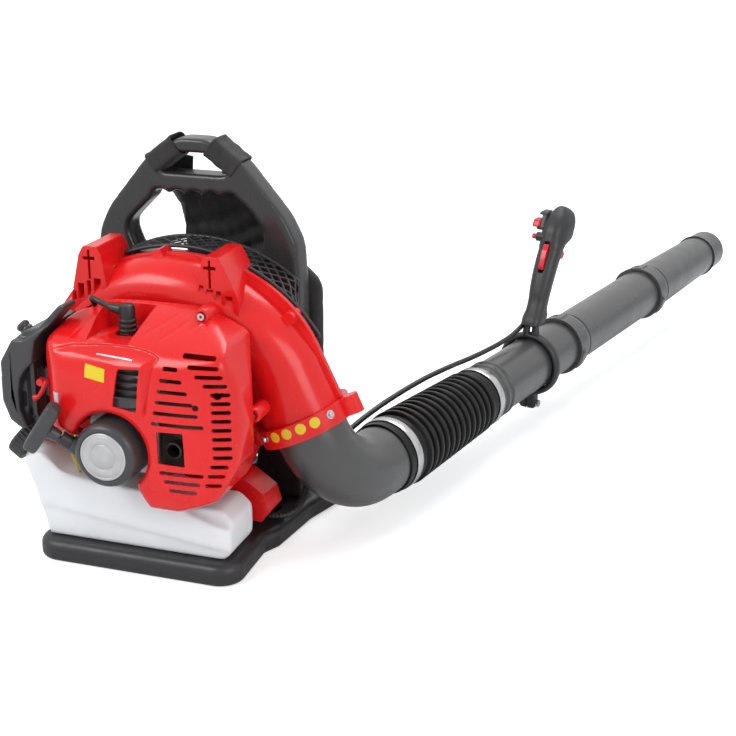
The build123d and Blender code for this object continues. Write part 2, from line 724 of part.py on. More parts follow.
with BuildPart() as muffler:
    with BuildSketch(Plane.YZ.offset(FAN_X + 46)):
        with Locations((ENGINE_Y - 4, 172)):
            RectangleRounded(58, 98, 12)
    extrude(amount=66)
    fillet(muffler.faces().filter_by(Axis.X).edges(), radius=8)
    with BuildSketch(Plane.YZ.offset(FAN_X + 46 + 2)):
        with Locations((ENGINE_Y - 4, 172)):
            RectangleRounded(52, 92, 10)
    extrude(amount=62, mode=Mode.SUBTRACT)
    with BuildSketch(front(ENGINE_Y - 30)):
        with Locations((58, 157)):
            Circle(10)
    extrude(amount=14)
    with BuildSketch(front(ENGINE_Y - 46)):
        with Locations((58, 157)):
            Circle(7.5)
    extrude(amount=-22, mode=Mode.SUBTRACT)
save(muffler, "muffler")

HEAD_Z = FAN_Z + 113
with BuildPart() as spark_plug:
    with BuildSketch(Plane.XY.offset(HEAD_Z)):
        with Locations((FAN_X, ENGINE_Y)):
            RegularPolygon(10, 6)
    extrude(amount=8)
    with BuildSketch(Plane.XY.offset(HEAD_Z + 8)):
        with Locations((FAN_X, ENGINE_Y)):
            Circle(5.5)
    extrude(amount=20)
save(spark_plug, "spark_plug")

with BuildPart() as spark_boot:
    with BuildSketch(Plane.XY.offset(HEAD_Z + 9)):
        with Locations((FAN_X, ENGINE_Y)):
            Circle(11)
    extrude(amount=30, taper=3)
    fillet(spark_boot.faces().sort_by(Axis.Z)[-1].edges(), radius=4)
    with BuildSketch(Plane(origin=(FAN_X, ENGINE_Y, HEAD_Z + 31), x_dir=(0, 1, 0), z_dir=(-1, 0, 0.1))):
        Circle(6)
    extrude(amount=20, taper=6)
    with BuildSketch(Plane.XY.offset(HEAD_Z)):
        with Locations((FAN_X, ENGINE_Y)):
            Circle(5.5)
    extrude(amount=28, mode=Mode.SUBTRACT)
save(spark_boot, "spark_boot")


def tube_along(points, radii, radius):
    """Round cord of this radius along straight runs joined by arcs, with its end planes square."""
    with BuildPart() as tube:
        with BuildLine() as path:
            FilletPolyline(*points, radius=radii)
        with BuildSketch(Plane(origin=path.line @ 0, z_dir=path.line % 0)):
            Circle(radius)
        sweep()
    return tube


def arcs(points, share=0.45):
    """Arc radius at each inner point: its share of the shorter run over tan(half the turn)."""
    radii = []
    for a, b, c in zip(points, points[1:], points[2:]):
        before, after = Vector(b) - Vector(a), Vector(c) - Vector(b)
        radii.append(share * min(before.length, after.length) / tan(radians(before.get_angle(after)) / 2))
    return radii


lead_route = [(FAN_X - 20.5, ENGINE_Y, HEAD_Z + 33), (FAN_X - 34, ENGINE_Y + 1, HEAD_Z + 38),
              (FAN_X - 46, ENGINE_Y + 5, HEAD_Z + 40), (FAN_X - 51, ENGINE_Y + 14, HEAD_Z + 36),
              (FAN_X - 52, ENGINE_Y + 28, HEAD_Z + 22)]
save(tube_along(lead_route, arcs(lead_route), 3.2), "ignition_lead")

with BuildPart() as carburettor:
    with BuildSketch(Plane.YZ.offset(FAN_X - 46)):
        with Locations((ENGINE_Y, FAN_Z + 56)):
            RectangleRounded(30, 24, 3)
    extrude(amount=-18)
    with BuildSketch(Plane.YZ.offset(FAN_X - 64)):
        with Locations((ENGINE_Y, FAN_Z + 56)):
            RectangleRounded(36, 36, 5)
    extrude(amount=-34)
save(carburettor, "carburettor")

# ---------------------------------------------------------------------- air cleaner
FILTER_X = FAN_X - 98               # left end of the carburettor
with BuildPart() as air_filter_base:
    with BuildSketch(Plane.YZ.offset(FILTER_X)):
        with Locations((-96, 208)):
            RectangleRounded(66, 76, 10)
        with Locations((ENGINE_Y, FAN_Z + 56)):
            Circle(11, mode=Mode.SUBTRACT)
    extrude(amount=-5)
save(air_filter_base, "air_filter_base")

with BuildPart() as filter_element:
    with BuildSketch(Plane.YZ.offset(FILTER_X - 5)):
        with Locations((-96, 208)):
            RectangleRounded(54, 60, 8)
        with Locations((ENGINE_Y, FAN_Z + 56)):
            Circle(15, mode=Mode.SUBTRACT)
    extrude(amount=-26)
save(filter_element, "filter_element")

filter_outline = [(-151, 190), (-150, 236), (-134, 262), (-122, 272), (-104, 277), (-76, 306), (-69, 301),
                  (-105, 264), (-108.5, 240), (-111, 166), (-128, 158), (-143, 168)]
with BuildPart() as air_filter_cover:
    with BuildSketch(front(-60)):
        with BuildLine():
            rounded(filter_outline, 3)
        make_face()
    extrude(amount=74)
    fillet(air_filter_cover.faces().sort_by(Axis.Y)[0].edges(), radius=2.5)
    with BuildSketch(Plane.YZ.offset(FILTER_X + 1)):
        with Locations((-96, 208)):
            RectangleRounded(66.4, 76.4, 10)
    extrude(amount=-37, mode=Mode.SUBTRACT)
    with BuildSketch(Plane.YZ.offset(FILTER_X - 2)):
        with Locations((ENGINE_Y, FAN_Z + 56)):
            RectangleRounded(37, 37, 5)
    extrude(amount=20, mode=Mode.SUBTRACT)
save(air_filter_cover, "air_filter_cover")

# ---------------------------------------------------------------------- engine cover
cover_outline = [(-101, 190), (-106, 226), (-104, 250), (-80, 286), (-56, 296), (-14, 299), (60, 299),
                 (92, 288), (118, 276), (135, 231), (140, 190), (132, 148), (109, 105), (64, 86),
                 (28, 86), (18, 112), (-12, 152), (-70, 168), (-88, 177)]
cover_profile = [(-COVER_BACK, 60), (-COVER_BACK, 300), (-70, 298), (-104, 284), (-134, 270),
                 (-COVER_FRONT, 252), (-COVER_FRONT, 104), (-138, 84), (-132, 60)]
cover_plan = [(-106, -COVER_BACK), (-106, -96), (-96, -122), (-72, -COVER_FRONT),
              (90, -COVER_FRONT), (116, -141), (134, -132), (140, -120), (140, -104), (118, -COVER_BACK)]
RECOIL_HOLE_R = 45


def cover_form(inset):
    """The cover's solid form drawn in by inset: front view, side view and plan cut from one block."""
    with BuildPart() as form:
        with BuildSketch(front(-COVER_BACK)):
            with BuildLine():
                Polyline(*cover_outline, close=True)
            make_face()
            offset(amount=-inset)
        extrude(amount=COVER_FRONT - COVER_BACK)
        with BuildSketch(Plane.YZ.offset(-130)):
            with BuildLine():
                Polyline(*cover_profile, close=True)
            make_face()
            offset(amount=-inset)
            with Locations((-COVER_BACK, 190)):
                Rectangle(3 * inset + 1, 200)
        extrude(amount=300, mode=Mode.INTERSECT)
        with BuildSketch(Plane.XY.offset(50)):
            with BuildLine():
                Polyline(*cover_plan, close=True)
            make_face()
            offset(amount=-inset)
            with Locations((12, -COVER_BACK)):
                Rectangle(240, 3 * inset + 1)
        extrude(amount=290, mode=Mode.INTERSECT)
        with BuildSketch(front(-66 + inset)):
            with BuildLine():
                Polyline((-62 - inset, 340), (-42 - inset, 271 - inset), (8 + inset, 271 - inset),
                         (20 + inset, 340), close=True)
            make_face()
        extrude(amount=66 + 2 * inset, mode=Mode.SUBTRACT)
    return form


def cut_vents(places, height=4):
    """Slots through the front wall: (x of the left end, x of the right end, z) of each."""
    for left, right, z in places:
        with BuildSketch(front(-COVER_FRONT - 4)) as slot:
            with Locations(((left + right) / 2, z)):
                SlotOverall(right - left, height)
        extrude(slot.sketch, amount=-52, mode=Mode.SUBTRACT)


with BuildPart() as engine_cover:
    add(cover_form(0).part)
    add(cover_form(WALL).part, mode=Mode.SUBTRACT)
    with BuildSketch(Plane.XY.offset(40)):
        with Locations((48, -91)):
            Rectangle(140, 74)
    extrude(amount=64, mode=Mode.SUBTRACT)
    with BuildSketch(front(-COVER_FRONT - 2)):
        with BuildLine():
            rounded([(-3, 211), (27, 205), (31, 250), (2, 249)], 2)
        make_face()
        with BuildLine():
            rounded([(47, 147), (78, 146), (77, 185), (47, 184)], 2)
        make_face()
    extrude(amount=-30, mode=Mode.SUBTRACT)
    cut_vents([(56 - 3 * i, 73 + 5.4 * i, 255 - 12.4 * i) for i in range(6)])
    cut_vents([(48 + 5 * i, 98 - 4 * i, 137 - 10 * i) for i in range(3)])
    cut_vents([(min(108, 75 + 8.5 * i) - max(0, 3 * (i - 11)), min(134, 117 + 5 * i) - max(0, 4 * (i - 11)),
                268 - 9.2 * i - 0.065 * i ** 2) for i in range(15)])
    with BuildSketch(Plane.XY.offset(260)):
        with Locations((FAN_X, ENGINE_Y)):
            Circle(14)
    extrude(amount=20, mode=Mode.SUBTRACT)
    with BuildSketch(Plane.YZ.offset(-130)):
        with Locations((ENGINE_Y, 206)):
            RectangleRounded(44, 46, 6)
    extrude(amount=40, mode=Mode.SUBTRACT)
    with BuildSketch(fan_plane(-100)):
        Circle(RECOIL_HOLE_R)
    extrude(amount=60, mode=Mode.SUBTRACT)
    with BuildSketch(front(-COVER_BACK)):
        with Locations((-35, 114)):
            Rectangle(130, 108)
    extrude(amount=68, mode=Mode.SUBTRACT)
    with BuildSketch(Plane(origin=GUIDE - PULL * 12, z_dir=PULL)):
        Circle(10)
    extrude(amount=30, mode=Mode.SUBTRACT)
    with BuildSketch(Plane.XY.offset(HEAD_Z + 12)):
        with Locations((lead_route[-1][0], -67)):
            Rectangle(14, 26)
    extrude(amount=32, mode=Mode.SUBTRACT)
    for x, y, z in COVER_SCREWS:
        with BuildSketch(front(-COVER_BACK)):
            with Locations((x, z)):
                Circle(8)
        extrude(amount=-COVER_BACK - y)
        with BuildSketch(front(y)):
            with Locations((x, z)):
                Circle(5)
        extrude(amount=30, mode=Mode.SUBTRACT)
save(engine_cover, "engine_cover")

# ---------------------------------------------------------------------- recoil starter
HOUSING_R, BADGE_R = 37, 27.5
with BuildPart() as recoil_housing:
    with BuildSketch(fan_plane(-112)):
        Circle(HOUSING_R)
    extrude(amount=62)
    fillet(recoil_housing.faces().sort_by(Axis.Y)[0].edges(), radius=6)
    with BuildSketch(fan_plane(-112)):
        Circle(HOUSING_R - 3)
    extrude(amount=56, mode=Mode.SUBTRACT)
    with BuildSketch(Plane(origin=GUIDE - PULL * 22, z_dir=PULL)):
        Circle(11)
    extrude(amount=19.9)
    with BuildSketch(fan_plane(-112)):
        Circle(HOUSING_R - 3)
    extrude(amount=56, mode=Mode.SUBTRACT)
    with BuildSketch(Plane(origin=GUIDE - PULL * 24, z_dir=PULL)):
        Circle(2.6)
    extrude(amount=24, mode=Mode.SUBTRACT)
    with BuildSketch(fan_plane(-168)):
        Circle(4.7)
    extrude(amount=-22)
    with BuildSketch(fan_plane(-172)):
        Circle(BADGE_R + 0.3)
    extrude(amount=3, mode=Mode.SUBTRACT)
save(recoil_housing, "recoil_housing")

with BuildPart() as recoil_badge:
    with BuildSketch(fan_plane(-172)):
        Circle(BADGE_R)
    extrude(amount=2.4)
save(recoil_badge, "recoil_badge")

ROPE_WIND_R = 28                     # radius that the starter rope winds on
with BuildPart() as starter_pulley:
    with BuildSketch(fan_plane(-146)):
        Circle(33)
        Circle(5, mode=Mode.SUBTRACT)
    extrude(amount=14)
    with BuildSketch(fan_plane(-150)):
        Circle(40)
        Circle(ROPE_WIND_R, mode=Mode.SUBTRACT)
    extrude(amount=6, mode=Mode.SUBTRACT)
save(starter_pulley, "starter_pulley")

with BuildPart() as rope_guide:
    with BuildSketch(Plane(origin=GUIDE - PULL * 2, z_dir=PULL)):
        Circle(8)
        Circle(2.6, mode=Mode.SUBTRACT)
    extrude(amount=13)
save(rope_guide, "rope_guide")

BAR = GUIDE + PULL * 34
BAR_PLANE = Plane(origin=BAR, x_dir=Vector(0.73, -0.13, 0.67) - PULL * Vector(0.73, -0.13, 0.67).dot(PULL),
                  z_dir=PULL)
with BuildPart() as starter_handle:
    with BuildSketch(BAR_PLANE.offset(-8)):
        SlotOverall(68, 18)
    extrude(amount=15)
    fillet(starter_handle.faces().filter_by(Axis(BAR, PULL)).edges(), radius=3)
    with BuildSketch(BAR_PLANE.offset(-22)):
        Circle(6.5)
    extrude(amount=15)
save(starter_handle, "starter_handle")

with BuildPart() as starter_rope:
    with BuildSketch(Plane(origin=GUIDE - PULL * 2, z_dir=PULL)):
        Circle(1.8)
    extrude(amount=34 - 22 + 2)
save(starter_rope, "starter_rope")

# ---------------------------------------------------------------------- fuel tank
CAP_DIR = Vector(-0.8, 0, 0.6)
NECK = Vector(-131, -98, 119)
tank_outline = [(-114, BASE_H + 0.2), (106, BASE_H + 0.2), (115, 36), (115, 70), (100, 83), (60, 82),
                (20, 98), (-46, 100), (-92, 106), (-116, 128), (-140, 118), (-126, 78)]
with BuildPart() as fuel_tank:
    with BuildSketch(front(-54)):
        with BuildLine():
            rounded(tank_outline, 9)
        make_face()
    extrude(amount=68)
    fillet(fuel_tank.faces().sort_by(Axis.Y)[0].edges(), radius=8)
    fillet(fuel_tank.faces().sort_by(Axis.Y)[-1].edges(), radius=6)
    with BuildSketch(Plane(origin=NECK - CAP_DIR * 14, z_dir=CAP_DIR)):
        Circle(16)
    extrude(amount=22.7)
save(fuel_tank, "fuel_tank")

with BuildPart() as fuel_cap:
    with BuildSketch(Plane(origin=NECK + CAP_DIR * 9, z_dir=CAP_DIR)):
        Circle(22)
        with PolarLocations(22.6, 18):
            Circle(1.6, mode=Mode.SUBTRACT)
    extrude(amount=20)
    fillet(fuel_cap.faces().sort_by(Axis(NECK, CAP_DIR))[-1].outer_wire().edges(), radius=1.5)
save(fuel_cap, "fuel_cap")

line_routes = ([(-93, -108, 171), (-90, -110, 150), (-81, -111, 127), (-74, -108, 105.5)],
               [(-79, -104, 164), (-78, -106, 146), (-72, -107, 126), (-66, -106, 104.5)])
with BuildPart() as fuel_line:
    for route in line_routes:
        add(tube_along(route, arcs(route), 2.4).part)
save(fuel_line, "fuel_line")

# ---------------------------------------------------------------------- small controls
CHOKE = Vector(-97, -136, 220)
with BuildPart() as choke_lever:
    with BuildSketch(front(CHOKE.Y)):
        with BuildLine():
            rounded([(CHOKE.X - 4, CHOKE.Z + 4), (CHOKE.X + 4, CHOKE.Z + 3), (CHOKE.X - 10, CHOKE.Z - 20),
                     (CHOKE.X - 20, CHOKE.Z - 22), (CHOKE.X - 21, CHOKE.Z - 15), (CHOKE.X - 13, CHOKE.Z - 14)], 1.5)
        make_face()
    extrude(amount=4)
save(choke_lever, "choke_lever")

# ---------------------------------------------------------------------- rubber mounts and screws
with BuildPart() as av_mounts:
    for x in (-84, 74):
        with BuildSketch(Plane.XY.offset(9)):
            with Locations((x, -20)):
                Circle(11)
        extrude(amount=22)
    for x, z in ((-108, 205), (82, 112)):
        with BuildSketch(front(PLATE_D)):
            with Locations((x, z)):
                Circle(11)
        extrude(amount=PLATE_D - FRAME_Y)
save(av_mounts, "av_mounts")


def screw(x, y, z, radius=4):
    """Pan-head screw facing the front, its head's seat at y."""
    with BuildSketch(front(y)) as head:
        with Locations((x, z)):
            Circle(radius)
            RegularPolygon(radius * 0.45, 6, mode=Mode.SUBTRACT)
    extrude(head.sketch, amount=2.5)


with BuildPart() as cover_screws:
    for x, y, z in COVER_SCREWS:
        screw(x, y, z)
save(cover_screws, "cover_screws")

# ---------------------------------------------------------------------- throttle cable
cable_route = [by_hose(*CABLE_AT), by_hose(12, 50, 362), by_hose(15, 46, 320), by_hose(22, 44, 262),
               by_hose(31, 44, 212), by_hose(40, 42, 160), by_hose(47, 37, 108), by_hose(53, 30, 58),
               by_hose(58, 20, 10), by_hose(62, 7, -34)]
cable_end = cable_route[-1] + (cable_route[-1] - cable_route[-2]) * 0.7
conduit_route = [cable_route[-1], cable_end, Vector(146, 28, 47), Vector(142, 8, 34),
                 Vector(126, -4, 30), Vector(104, -6, 30)]
save(tube_along(cable_route, arcs(cable_route), CABLE_R), "throttle_cable")
save(tube_along(conduit_route, arcs(conduit_route), CABLE_R + 1), "cable_conduit")
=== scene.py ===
# %% [markdown]
# # A backpack leaf blower
# The frame is the engineering model: every part in metres, with its joints.  This file gives
# those parts their finishes, and puts finer pieces in the places of the parts whose real
# surfaces are rounder, softer or more broken up than a plain solid shows.

# %% Load the frame
import json
import math
import bmesh
import bpy
import numpy as np
from mathutils import Matrix, Vector


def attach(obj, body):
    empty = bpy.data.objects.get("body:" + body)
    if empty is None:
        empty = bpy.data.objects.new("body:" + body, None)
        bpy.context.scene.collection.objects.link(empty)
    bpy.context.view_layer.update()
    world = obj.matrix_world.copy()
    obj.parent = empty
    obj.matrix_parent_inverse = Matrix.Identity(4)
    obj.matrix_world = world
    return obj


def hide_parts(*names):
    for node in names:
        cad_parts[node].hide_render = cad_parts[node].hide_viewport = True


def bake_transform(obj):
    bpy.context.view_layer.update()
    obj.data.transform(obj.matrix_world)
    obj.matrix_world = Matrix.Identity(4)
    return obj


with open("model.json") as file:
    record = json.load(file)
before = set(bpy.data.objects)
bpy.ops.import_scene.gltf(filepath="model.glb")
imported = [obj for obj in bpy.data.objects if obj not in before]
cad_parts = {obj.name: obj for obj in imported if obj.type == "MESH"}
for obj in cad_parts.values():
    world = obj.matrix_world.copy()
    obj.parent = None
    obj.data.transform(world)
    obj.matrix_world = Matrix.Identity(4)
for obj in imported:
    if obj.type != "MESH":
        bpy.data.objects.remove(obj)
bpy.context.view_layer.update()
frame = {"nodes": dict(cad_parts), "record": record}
scene = bpy.context.scene
nodes = frame["nodes"]

# %% [markdown]
# ## Camera
# The blower is seen from a little above head height of the engine, over its front right corner,
# with a short telephoto lens, so the tubes run away to the right.

# %% Camera
BACK = Vector((0.299, -0.894, 0.334)).normalized()      # from the object towards the camera
RIGHT = Vector((0, 0, 1)).cross(BACK).normalized()
camera = bpy.data.objects.new("camera", bpy.data.cameras.new("camera"))
scene.collection.objects.link(camera)
camera.matrix_world = Matrix.Translation((0.699, -1.389, 0.746)) @ Matrix(
    (RIGHT, BACK.cross(RIGHT), BACK)).transposed().to_4x4()
camera.data.sensor_width = 36
camera.data.lens = 68.5
scene.camera = camera

# %% [markdown]
# ## Light
# A studio tent: an even world, one large soft lamp high on the left whose reflection draws the
# long soft highlights on the glossy plastic, a weaker one on the right and one above the tubes.
# What the camera, a gloss or a clear plastic sees of the world is plain white paper; only the
# light that falls on the blower is dimmer.

# %% World and lamps
world = bpy.data.worlds.new("tent")
scene.world = world
world.use_nodes = True
tree = world.node_tree
tree.nodes.clear()
out = tree.nodes.new("ShaderNodeOutputWorld")
mix = tree.nodes.new("ShaderNodeMixShader")
even = tree.nodes.new("ShaderNodeBackground")
even.inputs["Color"].default_value = (0.93, 0.96, 1, 1)
even.inputs["Strength"].default_value = 0.5
white = tree.nodes.new("ShaderNodeBackground")
white.inputs["Strength"].default_value = 1
white.inputs["Color"].default_value = (1, 1, 1, 1)
rays = tree.nodes.new("ShaderNodeLightPath")
seen = rays.outputs["Is Camera Ray"]
for kind in ("Is Glossy Ray", "Is Transmission Ray"):
    either = tree.nodes.new("ShaderNodeMath")
    either.operation = "MAXIMUM"
    tree.links.new(seen, either.inputs[0])
    tree.links.new(rays.outputs[kind], either.inputs[1])
    seen = either.outputs[0]
tree.links.new(seen, mix.inputs[0])
tree.links.new(even.outputs[0], mix.inputs[1])
tree.links.new(white.outputs[0], mix.inputs[2])
tree.links.new(mix.outputs[0], out.inputs[0])


def lamp(name, place, aim, size, power):
    """A soft box of this width and height at place, facing aim."""
    data = bpy.data.lights.new(name, "AREA")
    data.shape = "RECTANGLE"
    data.size, data.size_y = size
    data.energy = power
    box = bpy.data.objects.new(name, data)
    scene.collection.objects.link(box)
    turn = (Vector(aim) - Vector(place)).to_track_quat("-Z", "Y")
    box.matrix_world = Matrix.Translation(place) @ turn.to_matrix().to_4x4()


lamp("key", (-1.3, -1.5, 2.0), (0, 0, 0.2), (1.4, 1.0), 34)
lamp("fill", (2.2, -1.2, 1.3), (0.2, 0.2, 0.2), (1.2, 1.2), 16)
lamp("top", (0.4, 1.2, 2.2), (0.2, 0.3, 0.2), (1.6, 0.8), 22)
scene.view_settings.view_transform = "Standard"
print(len(bpy.data.lights), "lamps")

# %% [markdown]
# ## Floor
# A pale floor that keeps the shadow.  It is one sheet that rises behind the blower, so no
# horizon shows, and it glows a little for the camera alone, which keeps it white without more
# light on the blower.


# %% Mesh helpers
def grid_faces(rows, cols, wrap_rows=False, wrap_cols=False):
    """Quads between neighbouring points of a rows x cols grid of vertices."""
    index = np.arange(rows * cols).reshape(rows, cols)
    if wrap_rows:
        index = np.vstack([index, index[:1]])
    if wrap_cols:
        index = np.hstack([index, index[:, :1]])
    quads = [index[:-1, :-1], index[:-1, 1:], index[1:, 1:], index[1:, :-1]]
    return np.stack([q.ravel() for q in quads], axis=1)


def mesh_of(name, verts, faces, sharp=40):
    """A mesh in metres from vertices in millimetres and faces, smooth but for edges above sharp."""
    mesh = bpy.data.meshes.new(name)
    mesh.from_pydata((np.asarray(verts).reshape(-1, 3) * 0.001).tolist(), [], [list(f) for f in faces])
    mesh.update()
    mesh.shade_smooth()
    mesh.set_sharp_from_angle(angle=math.radians(sharp))
    return mesh


def new_object(name, mesh):
    """An object at the origin that shows this mesh."""
    thing = bpy.data.objects.new(name, mesh)
    scene.collection.objects.link(thing)
    return thing


# %% Floor
RISE_FROM, PAPER_GLOW = 2.2, 0.55
deep = np.linspace(-2.2, 3.2, 40)
rise = np.where(deep > RISE_FROM, (deep - RISE_FROM) ** 2 * 0.8, 0)
across = np.linspace(-3.5, 4.5, 9)
floor_points = np.stack(np.broadcast_arrays(across[None, :], deep[:, None], rise[:, None]), axis=-1)
floor_faces = grid_faces(len(deep), len(across))[:, ::-1]
floor = new_object("floor", mesh_of("floor", floor_points * 1000, floor_faces))
paper = bpy.data.materials.new("paper")
paper.use_nodes = True
leaf = paper.node_tree.nodes["Principled BSDF"].inputs
for socket, value in (("Base Color", (0.93, 0.93, 0.93, 1)), ("Roughness", 0.6), ("Specular IOR Level", 0.2),
                      ("Emission Color", (1, 1, 1, 1))):
    leaf[socket].default_value = value
glow = paper.node_tree.nodes.new("ShaderNodeLightPath")
level = paper.node_tree.nodes.new("ShaderNodeMath")
level.operation = "MULTIPLY"
level.inputs[1].default_value = PAPER_GLOW
paper.node_tree.links.new(glow.outputs["Is Camera Ray"], level.inputs[0])
paper.node_tree.links.new(level.outputs[0], leaf["Emission Strength"])
floor.data.materials.append(paper)
print("floor", len(floor.data.polygons), "faces")

# %% [markdown]
# ## Finishes
# Moulded plastic is never one flat colour: it has a fine grain or an orange-peel skin, its gloss
# varies a little, and its corners are rubbed lighter.  Each finish below builds that from noise
# on Object coordinates, so a pattern stays with its piece and needs no unwrapped map.


# %% Finish helpers
class Finish:
    """A Principled material with helpers that add noise, ramps and bumps to it."""

    def __init__(self, name, colour, roughness, **sockets):
        self.material = bpy.data.materials.new(name)
        self.material.use_nodes = True
        self.tree = self.material.node_tree
        self.shader = self.tree.nodes["Principled BSDF"]
        self.set("Base Color", (*colour, 1))
        self.set("Roughness", roughness)
        for socket, value in sockets.items():
            self.set(socket.replace("_", " "), value)
        self.place = self.tree.nodes.new("ShaderNodeTexCoord").outputs["Object"]

    def set(self, socket, value):
        """Puts a plain value on the shader's own socket."""
        self.shader.inputs[socket].default_value = value

    def link(self, source, target):
        """Joins two sockets."""
        self.tree.links.new(source, target)

    def stretched(self, scale):
        """Object coordinates scaled along x, y and z."""
        node = self.tree.nodes.new("ShaderNodeMapping")
        node.inputs["Scale"].default_value = scale
        self.link(self.place, node.inputs["Vector"])
        return node.outputs[0]

    def noise(self, scale, detail=3, vector=None, rough=0.55):
        """Cloudy values from 0 to 1; scale is features per metre."""
        node = self.tree.nodes.new("ShaderNodeTexNoise")
        node.inputs["Scale"].default_value = scale
        node.inputs["Detail"].default_value = detail
        node.inputs["Roughness"].default_value = rough
        self.link(vector or self.place, node.inputs["Vector"])
        return node.outputs["Fac"]

    def cells(self, scale, feature="F1"):
        """Distance to the nearest of many scattered points, for pebbled grain."""
        node = self.tree.nodes.new("ShaderNodeTexVoronoi")
        node.feature = feature
        node.inputs["Scale"].default_value = scale
        self.link(self.place, node.inputs["Vector"])
        return node.outputs["Distance"]

    def remap(self, value, low, high, start=0.0, end=1.0):
        """Value from start..end onto low..high, clamped."""
        node = self.tree.nodes.new("ShaderNodeMapRange")
        for socket, number in zip(("From Min", "From Max", "To Min", "To Max"), (start, end, low, high)):
            node.inputs[socket].default_value = number
        self.link(value, node.inputs["Value"])
        return node.outputs[0]

    def blend(self, share, first, second):
        """Mixes two colours by share."""
        node = self.tree.nodes.new("ShaderNodeMix")
        node.data_type = "RGBA"
        self.link(share, node.inputs[0])
        for socket, colour in ((6, first), (7, second)):
            if isinstance(colour, tuple):
                node.inputs[socket].default_value = (*colour, 1)
            else:
                self.link(colour, node.inputs[socket])
        return node.outputs[2]

    def edges(self, radius):
        """1 along edges tighter than radius and 0 on open surfaces, from a rounded normal."""
        soft = self.tree.nodes.new("ShaderNodeBevel")
        soft.samples = 4
        soft.inputs["Radius"].default_value = radius
        shape = self.tree.nodes.new("ShaderNodeNewGeometry")
        dot = self.tree.nodes.new("ShaderNodeVectorMath")
        dot.operation = "DOT_PRODUCT"
        self.link(soft.outputs[0], dot.inputs[0])
        self.link(shape.outputs["Normal"], dot.inputs[1])
        self.rounded = soft.outputs[0]
        return self.remap(dot.outputs["Value"], 1, 0, 0.86, 0.995)

    def bump(self, height, distance, strength=1.0):
        """Raises the surface by height times distance."""
        node = self.tree.nodes.new("ShaderNodeBump")
        node.inputs["Strength"].default_value = strength
        node.inputs["Distance"].default_value = distance
        self.link(height, node.inputs["Height"])
        if hasattr(self, "rounded"):
            self.link(self.rounded, node.inputs["Normal"])
        self.rounded = node.outputs[0]
        self.link(node.outputs[0], self.shader.inputs["Normal"])

    def wear(self, colour, rubbed, share=0.5, radius=0.0012, cloud=14):
        """Base colour with slow cloudy variation, and rubbed lighter along its edges."""
        edge = self.edges(radius)
        patchy = self.remap(self.noise(60, 5), 0, share, 0.42, 0.7)
        node = self.tree.nodes.new("ShaderNodeMath")
        node.operation = "MULTIPLY"
        self.link(edge, node.inputs[0])
        self.link(patchy, node.inputs[1])
        darker = tuple(c * 0.86 for c in colour)
        base = self.blend(self.noise(cloud, 2), darker, colour)
        self.link(self.blend(node.outputs[0], base, rubbed), self.shader.inputs["Base Color"])

    def gloss(self, low, high, scale=30):
        """Roughness that wanders between low and high."""
        self.link(self.remap(self.noise(scale, 4), low, high, 0.3, 0.7), self.shader.inputs["Roughness"])


def moulded(name, colour, rubbed, low, high, peel, **sockets):
    """Smooth moulded plastic: cloudy gloss, an orange-peel skin and rubbed edges."""
    finish = Finish(name, colour, low, **sockets)
    finish.wear(colour, rubbed)
    finish.gloss(low, high)
    finish.bump(finish.noise(420, 2), peel)
    return finish.material


def grained(name, colour, rubbed, low, high, grain=900, height=0.00005, **sockets):
    """Textured plastic: a fine pebbled grain that breaks up the gloss."""
    finish = Finish(name, colour, low, **sockets)
    finish.wear(colour, rubbed, 0.7)
    finish.gloss(low, high)
    finish.bump(finish.cells(grain), height)
    return finish.material


def metal(name, colour, low, high, stretch, height=0.00002):
    """Metal with fine drawn or cast marks along one direction."""
    finish = Finish(name, colour, low, Metallic=1.0)
    marks = finish.noise(1, 6, finish.stretched(stretch), 0.7)
    finish.link(finish.remap(marks, low, high, 0.3, 0.7), finish.shader.inputs["Roughness"])
    dark = tuple(c * 0.7 for c in colour)
    finish.link(finish.blend(finish.noise(90, 4), dark, colour), finish.shader.inputs["Base Color"])
    finish.bump(marks, height)
    return finish.material


def woven(name, colour, threads):
    """Plain weave: the greater of two crossed sine bands, threads / 6 as Blender's wave scale."""
    finish = Finish(name, colour, 0.72)
    ways = []
    for axis in ("X", "Z"):
        node = finish.tree.nodes.new("ShaderNodeTexWave")
        node.bands_direction = axis
        node.inputs["Scale"].default_value = threads / 6
        node.inputs["Distortion"].default_value = 0.4
        finish.link(finish.place, node.inputs["Vector"])
        ways.append(node.outputs["Fac"])
    cross = finish.tree.nodes.new("ShaderNodeMath")
    cross.operation = "MAXIMUM"
    finish.link(ways[0], cross.inputs[0])
    finish.link(ways[1], cross.inputs[1])
    # Painted light: the crossed bands paint a highlight on the thread crests and painted shade in the valleys
    # between them.
    valley, crest = (tuple(c * share for c in colour) for share in (0.45, 1.7))
    finish.link(finish.blend(cross.outputs[0], valley, crest), finish.shader.inputs["Base Color"])
    finish.gloss(0.62, 0.85, 40)
    finish.set("Sheen Weight", 0.08)
    finish.set("Sheen Roughness", 0.5)
    finish.bump(cross.outputs[0], 0.00015)
    return finish.material


